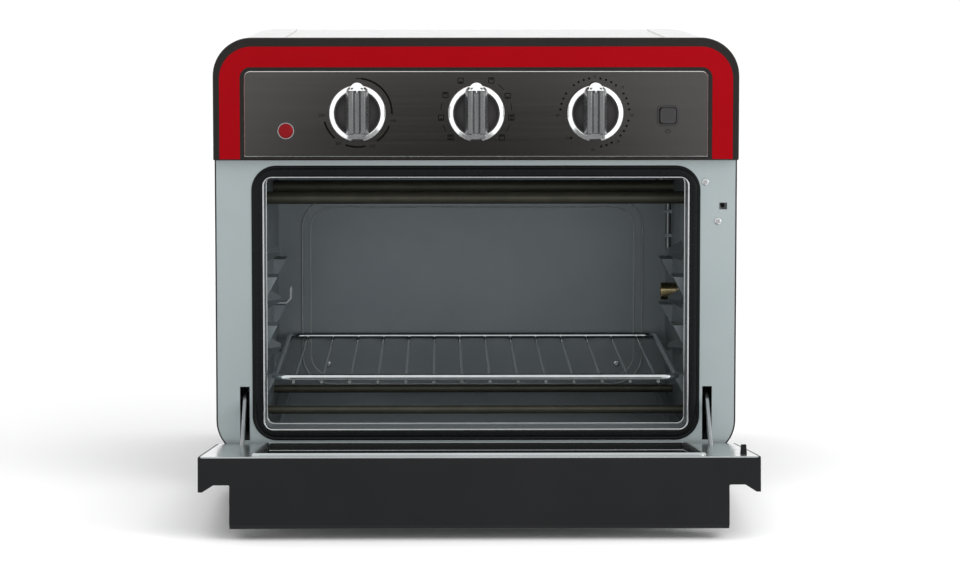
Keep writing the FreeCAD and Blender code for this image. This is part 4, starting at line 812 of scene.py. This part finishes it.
# ---- detailed pieces: fasteners, seal and collar -----------------------------------------------
def pan_head(radius, height):
    """A pan head with a cross recess, standing out along +Z from the origin."""
    work = bmesh.new()
    steps = 24
    rim = ((1.0, 0.0), (1.0, 0.35), (0.93, 0.72), (0.78, 0.95), (0.62, 1.0))
    rings = []
    for share, up in rim:
        ring = []
        for i in range(steps):
            angle = 2 * math.pi * i / steps
            x, y = radius * share * math.cos(angle), radius * share * math.sin(angle)
            ring.append(work.verts.new((x, y, height * up)))
        rings.append(ring)
    for lower, upper in zip(rings, rings[1:]):
        for i in range(steps):
            j = (i + 1) % steps
            work.faces.new((lower[i], lower[j], upper[j], upper[i]))
    arm, slot = radius * 0.52, radius * 0.14
    cross = []
    for turn in range(4):
        c, s = (1, 0, -1, 0)[turn], (0, 1, 0, -1)[turn]
        for x, y in ((slot, -slot), (arm, -slot), (arm, slot)):
            cross.append((c * x - s * y, s * x + c * y))
    deep, taper = height * 0.4, 0.8
    upper = [work.verts.new((x, y, height)) for x, y in cross]
    lower = [work.verts.new((x * taper, y * taper, deep)) for x, y in cross]
    n = len(cross)
    for i in range(n):
        j = (i + 1) % n
        work.faces.new((upper[i], upper[j], lower[j], lower[i]))
    work.faces.new(lower)
    edges = [work.edges.get((rings[-1][i], rings[-1][(i + 1) % steps])) for i in range(steps)]
    edges += [work.edges.get((upper[i], upper[(i + 1) % n])) for i in range(n)]
    bmesh.ops.triangle_fill(work, use_beauty=True, edges=edges)
    work.faces.new(list(reversed(rings[0])))
    work.verts.index_update()
    verts = [v.co.copy() for v in work.verts]
    faces = [tuple(v.index for v in f.verts) for f in work.faces]
    work.free()
    return verts, faces


def make_screws():
    parts = []
    for points in islands("case_screws"):
        low, high = span(points)
        size = high - low
        axis = 2 if size.z > size.x * 1.2 else 1
        radius = size.x / 2
        ends = [[p for p in points if abs(p[axis] - end[axis]) < NEAR] for end in (low, high)]
        middle = (low + high) / 2
        wide = [max(abs(p.x - middle.x) for p in end) for end in ends]
        outward = Vector((0.0, 0.0, 0.0))
        outward[axis] = 1.0 if wide[1] > wide[0] else -1.0
        head_h = 1.1 * MM
        tip = high if outward[axis] > 0 else low
        seat = middle.copy()
        seat[axis] = tip[axis] - outward[axis] * head_h
        turn = Vector((0.0, 0.0, 1.0)).rotation_difference(outward).to_matrix().to_4x4()
        driven_to = 0.5 + 7.0 * middle.x + 3.0 * middle.z
        spin = Matrix.Rotation(driven_to, 4, "Z")
        parts.append(moved(pan_head(radius, head_h), Matrix.Translation(seat) @ turn @ spin))
        far = low[axis] if outward[axis] > 0 else high[axis]
        end = seat.copy()
        end[axis] = far
        parts.append(tube([seat, end], min(wide), 16))
    heads = join_meshes("case_screw_heads", parts, 30.0)
    piece(heads, "body", M["screw"], ("case_screws",))


SEAL_SIDE, SEAL_BELOW, SEAL_ABOVE, SEAL_R = 9.6 * MM, 8.8 * MM, 9.5 * MM, 19.0 * MM
OPENING_R = 6.0 * MM
SPOT_WELD_R, SPOT_WELD_H = 1.7 * MM, 0.18 * MM


def make_gasket():
    """Silicone seal with a rounded face and a groove near its outer edge."""
    low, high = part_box("door_gasket")
    place = facing_user(0.0, high.y, 0.0)
    section = [
        (0.0, 0.0), (0.0, 0.45), (-0.45, 0.95), (-1.3, 1.1), (-2.0, 0.8), (-2.45, 0.45), (-2.9, 0.75),
        (-4.3, 1.05), (-6.4, 1.1), (-7.7, 0.85), (-8.4, 0.3), (-8.4, 0.0),
    ]
    section = [(o * MM, d * MM) for o, d in section]
    path = round_rectangle(low.x, high.x, low.z, high.z, SEAL_R, 16)
    seal = join_meshes("door_gasket_moulded", [band(path, section, place)], 45.0)
    piece(seal, "body", M["seal"], ("door_gasket",))


def collar_opening():
    """The clear opening inside the collar: half width, low and high edge."""
    low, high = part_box("door_gasket")
    return high.x - SEAL_SIDE, low.z + SEAL_BELOW, high.z - SEAL_ABOVE


def make_collar_beads():
    """The collar's rolled front edge, its hem at the back, and its spot welds; edge and hem are in
    bright steel, lighter than the coated collar, as painted highlight lines.
    """
    half, z0, z1 = collar_opening()
    front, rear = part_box("cavity_collar")[0].y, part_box("cavity_collar")[1].y
    edge = (front - 0.1 * MM, 0.75 * MM, 0.55 * MM)
    hem = (rear - 0.9 * MM, 0.6 * MM, -0.2 * MM)
    parts = []
    for y, radius, out in (edge, hem):
        path = round_rectangle(-half - out, half + out, z0 - out, z1 + out, OPENING_R + out, 8)
        parts.append(tube([Vector((x, y, z)) for x, z, _, _ in path], radius, 10, True))
    depth, from_middle, from_corner = (front + rear) / 2, 0.128, 0.03
    places = [Matrix.Translation((x, depth, z0)) for x in (-from_middle, 0.0, from_middle)]
    for side in (-1, 1):
        turn = Matrix.Rotation(math.radians(-90.0 * side), 4, "Y")
        for z in (z0 + from_corner, z1 - from_corner):
            places.append(Matrix.Translation((side * half, depth, z)) @ turn)
    weld = dome(SPOT_WELD_R, SPOT_WELD_H, lambda x, y, d: Vector((x, y, d)))
    welds = [moved(weld, place) for place in places]
    # The bright steel on the edge and hem is a painted highlight; the collar itself is coated.
    piece(join_meshes("collar_beads", parts, 60.0), "body", M["bright steel and painted bead highlight"])
    piece(join_meshes("collar_spot_welds", welds, 60.0), "body", M["cavity"])


def make_back_beads():
    """Rolled edges of the pressed frame on the cavity's back, in a finish lighter than the wall's
    coating that paints highlight lines along them.
    """
    wall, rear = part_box("cavity_right_wall"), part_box("cavity_back")
    side, above, below, wide, corner = 10.0 * MM, 43.0 * MM, 7.3 * MM, 7.0 * MM, 25.0 * MM
    half, z0, z1 = wall[0].x - side, wall[0].z + below, wall[1].z - above
    y, radius = rear[0].y + 0.15 * MM, 0.75 * MM
    parts = []
    for inward in (0.0, wide):
        x1, low, high = half - inward, z0 + inward, z1 - inward
        path = round_rectangle(-x1, x1, low, high, corner - inward, 10)
        parts.append(tube([Vector((x, y, z)) for x, z, _, _ in path], radius, 10, True))
    # The lighter finish on the ridges paints their highlight lines.
    piece(join_meshes("cavity_back_beads", parts, 60.0), "body", M["pressed edge"])


# ---- detailed pieces: door ---------------------------------------------------------------------
def joint(name):
    return next(j for j in frame["joints"] if j["name"] == name)


def door_point():
    """Maps (x, up, inward) on the closed door to where it is with the door open."""
    hinge = joint("door_hinge")
    angle = math.radians(-min(hinge["range_deg"]))
    axis = Vector(hinge["pos_m"])
    inward = Vector((0.0, math.cos(angle), math.sin(angle)))
    up = Vector((0.0, -math.sin(angle), math.cos(angle)))
    return lambda x, z, d: Vector((x, axis.y, axis.z)) + up * z + inward * d


def make_window_seal():
    """Black seal between the inner glass and the panel's lip."""
    place = door_point()
    half, z0, z1 = collar_opening()
    hinge_z = joint("door_hinge")["pos_m"][2]
    clear, face, lip = 3.9 * MM, 9.0 * MM, 2.0 * MM
    half -= clear
    low, high = z0 + clear - hinge_z, z1 - clear - hinge_z
    wall, glass = 1.5 * MM, face - 1.1 * MM
    top = face + lip - 0.45 * MM
    inset, foot = 0.02 * MM, wall * 1.6
    section = [
        (-inset, glass), (-inset, top), (-wall * 0.5, top),
        (-wall, top - 0.5 * MM), (-foot, glass + 0.1 * MM), (-foot, glass),
    ]
    path = round_rectangle(-half, half, low, high, 2.5 * MM, 6)
    seal = join_meshes("door_window_seal", [band(path, section, place)], 40.0)
    piece(seal, "door", M["seal"])


def make_springs():
    """Coiled tension springs with hooks, in place of their outer shape."""
    coil_r, wire_r, pitch, hook, per_turn = 3.3 * MM, 0.42 * MM, 1.9 * MM, 6.0 * MM, 14
    straight = hook * 0.6
    parts = []
    rear = 0.0
    for points in islands("door_springs"):
        low, high = span(points)
        middle_y = (low.y + high.y) / 2
        ends = []
        for near in (True, False):
            side = [p for p in points if (p.y < middle_y) == near]
            ends.append(sum(side, Vector()) / len(side))
        start, end = ends
        rear = max(rear, end.y)
        along = (end - start).normalized()
        across = Vector((1.0, 0.0, 0.0))
        other = along.cross(across)
        length = (end - start).length - 2 * hook
        steps = int(length / pitch) * per_turn
        line = [start, start + along * straight]
        for i in range(steps + 1):
            angle = 2 * math.pi * i / per_turn
            centre = start + along * (hook + length * i / steps)
            line.append(centre + (across * math.cos(angle) + other * math.sin(angle)) * coil_r)
        line += [end - along * straight, end]
        parts.append(tube(line, wire_r, 6))
    obj = join_meshes("door_spring_coils", parts, 60.0)
    piece(obj, "body", M["bright steel and painted bead highlight"], ("door_springs",))
    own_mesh(obj)


def soften_nodes():
    """Edges that moulding, pressing or painting leaves round on the pieces kept from the frame."""
    widths = {
        0.25: ("outer_shell", "door_inner_panel", "hinge_arms", "base_pan"),
        0.4: ("door_frame", "cord_gland", "switch_peg"),
        0.8: ("door_handle",),
        0.3: ("cavity_left_wall", "cavity_right_wall", "spit_support", "rotisserie_coupling"),
        0.15: ("red_band",),
        0.6: ("feet",),
    }
    for width, members in widths.items():
        for node in members:
            soften(node, width * MM)


# ---- camera, floor, light ----------------------------------------------------------------------
CAMERA_X, CAMERA_AWAY, CAMERA_Z = -0.0286, 2.760, 0.4213
CAMERA_DOWN_DEG, CAMERA_TURN_DEG, CAMERA_LENS = 5.57, -0.656, 135.75
FLOOR_HALF = 60.0
DARK_AXIS = (0.005, -0.995, -0.097)  # towards the middle of the dark strip
WORLD_STRENGTH = 1.12
WORLD_TONES = ((0.0, 0.02), (0.034, 0.06), (0.052, 0.65), (0.15, 0.9), (0.4, 1.0))


def make_camera():
    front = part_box("front_frame")[0].y
    data = bpy.data.cameras.new("camera")
    camera = bpy.data.objects.new("camera", data)
    bpy.context.scene.collection.objects.link(camera)
    camera.location = (CAMERA_X, front - CAMERA_AWAY, CAMERA_Z)
    down, turn = math.radians(90.0 - CAMERA_DOWN_DEG), math.radians(CAMERA_TURN_DEG)
    camera.rotation_euler = (down, 0.0, turn)
    data.lens = CAMERA_LENS
    data.sensor_width = 36.0
    data.clip_start = 0.05
    data.clip_end = 200.0
    bpy.context.scene.camera = camera


def make_floor():
    signs = ((-1, -1), (1, -1), (1, 1), (-1, 1))
    corners = [(x * FLOOR_HALF, y * FLOOR_HALF, 0.0) for x, y in signs]
    floor = mesh_object("floor", corners, [(0, 1, 2, 3)])
    finish = Finish("pale floor", (0.92, 0.92, 0.92), (0.94, 0.94, 0.94), (0.6, 0.7), specular=0.05)
    tone = finish.ramp(finish.noise(2.0), finish.dark, finish.light)
    floor.data.materials.append(finish.use(tone, finish.spread(finish.noise(5.0), *finish.rough)))
    floor.visible_glossy = False


def make_world():
    """White all round, with a dark strip in front of the object, as where a camera stands."""
    world = bpy.data.worlds.new("studio")
    bpy.context.scene.world = world
    world.use_nodes = True
    tree = world.node_tree
    background = tree.nodes["Background"]
    coords = tree.nodes.new("ShaderNodeTexCoord")
    dot = tree.nodes.new("ShaderNodeVectorMath")
    dot.operation = "DOT_PRODUCT"
    dot.inputs[1].default_value = Vector(DARK_AXIS).normalized()
    tree.links.new(coords.outputs["Generated"], dot.inputs[0])
    angle = tree.nodes.new("ShaderNodeMath")
    angle.operation = "ARCCOSINE"
    tree.links.new(dot.outputs["Value"], angle.inputs[0])
    share = tree.nodes.new("ShaderNodeMath")
    share.operation = "DIVIDE"
    share.inputs[1].default_value = math.pi / 2
    tree.links.new(angle.outputs["Value"], share.inputs[0])
    ramp = tree.nodes.new("ShaderNodeValToRGB")
    stops = ramp.color_ramp.elements
    for position, tone in WORLD_TONES[1:-1]:
        stops.new(position)
    for element, (position, tone) in zip(stops, WORLD_TONES):
        element.position = position
        element.color = (tone, tone, tone, 1.0)
    tree.links.new(share.outputs["Value"], ramp.inputs["Fac"])
    tree.links.new(ramp.outputs["Color"], background.inputs["Color"])
    background.inputs["Strength"].default_value = WORLD_STRENGTH


def make_light(name, place, target, width, height, power, glossy=True):
    data = bpy.data.lights.new(name, "AREA")
    data.shape = "RECTANGLE"
    data.size = width
    data.size_y = height
    data.energy = power
    light = bpy.data.objects.new(name, data)
    bpy.context.scene.collection.objects.link(light)
    light.location = place
    light.visible_glossy = glossy
    aim = Vector(target) - Vector(place)
    light.rotation_euler = aim.to_track_quat("-Z", "Y").to_euler()


def make_lights():
    """Each light: place, target, width, height, power, and whether it shows in reflections."""
    middle, right_post = (0.0, 0.0, 0.17), (0.14, -0.05, 0.17)
    make_light("key", (1.3, -2.2, 1.9), middle, 1.4, 1.2, 16.0, False)
    make_light("side", (2.4, -1.2, 0.9), middle, 0.9, 1.4, 12.0)
    make_light("front fill", (0.2, -2.6, 0.35), middle, 1.6, 0.8, 9.0, False)
    make_light("right fill", (0.9, -0.85, 0.4), right_post, 0.4, 0.6, 4.5, False)


finish_nodes()
soften_nodes()
for knob_name in KNOBS:
    make_knob(knob_name)
make_dials()
make_indicator()
make_button()
make_screws()
make_gasket()
make_collar_beads()
make_back_beads()
make_window_seal()
make_springs()
make_camera()
make_floor()
make_world()
make_lights()
bpy.context.scene.view_settings.view_transform = "Standard"
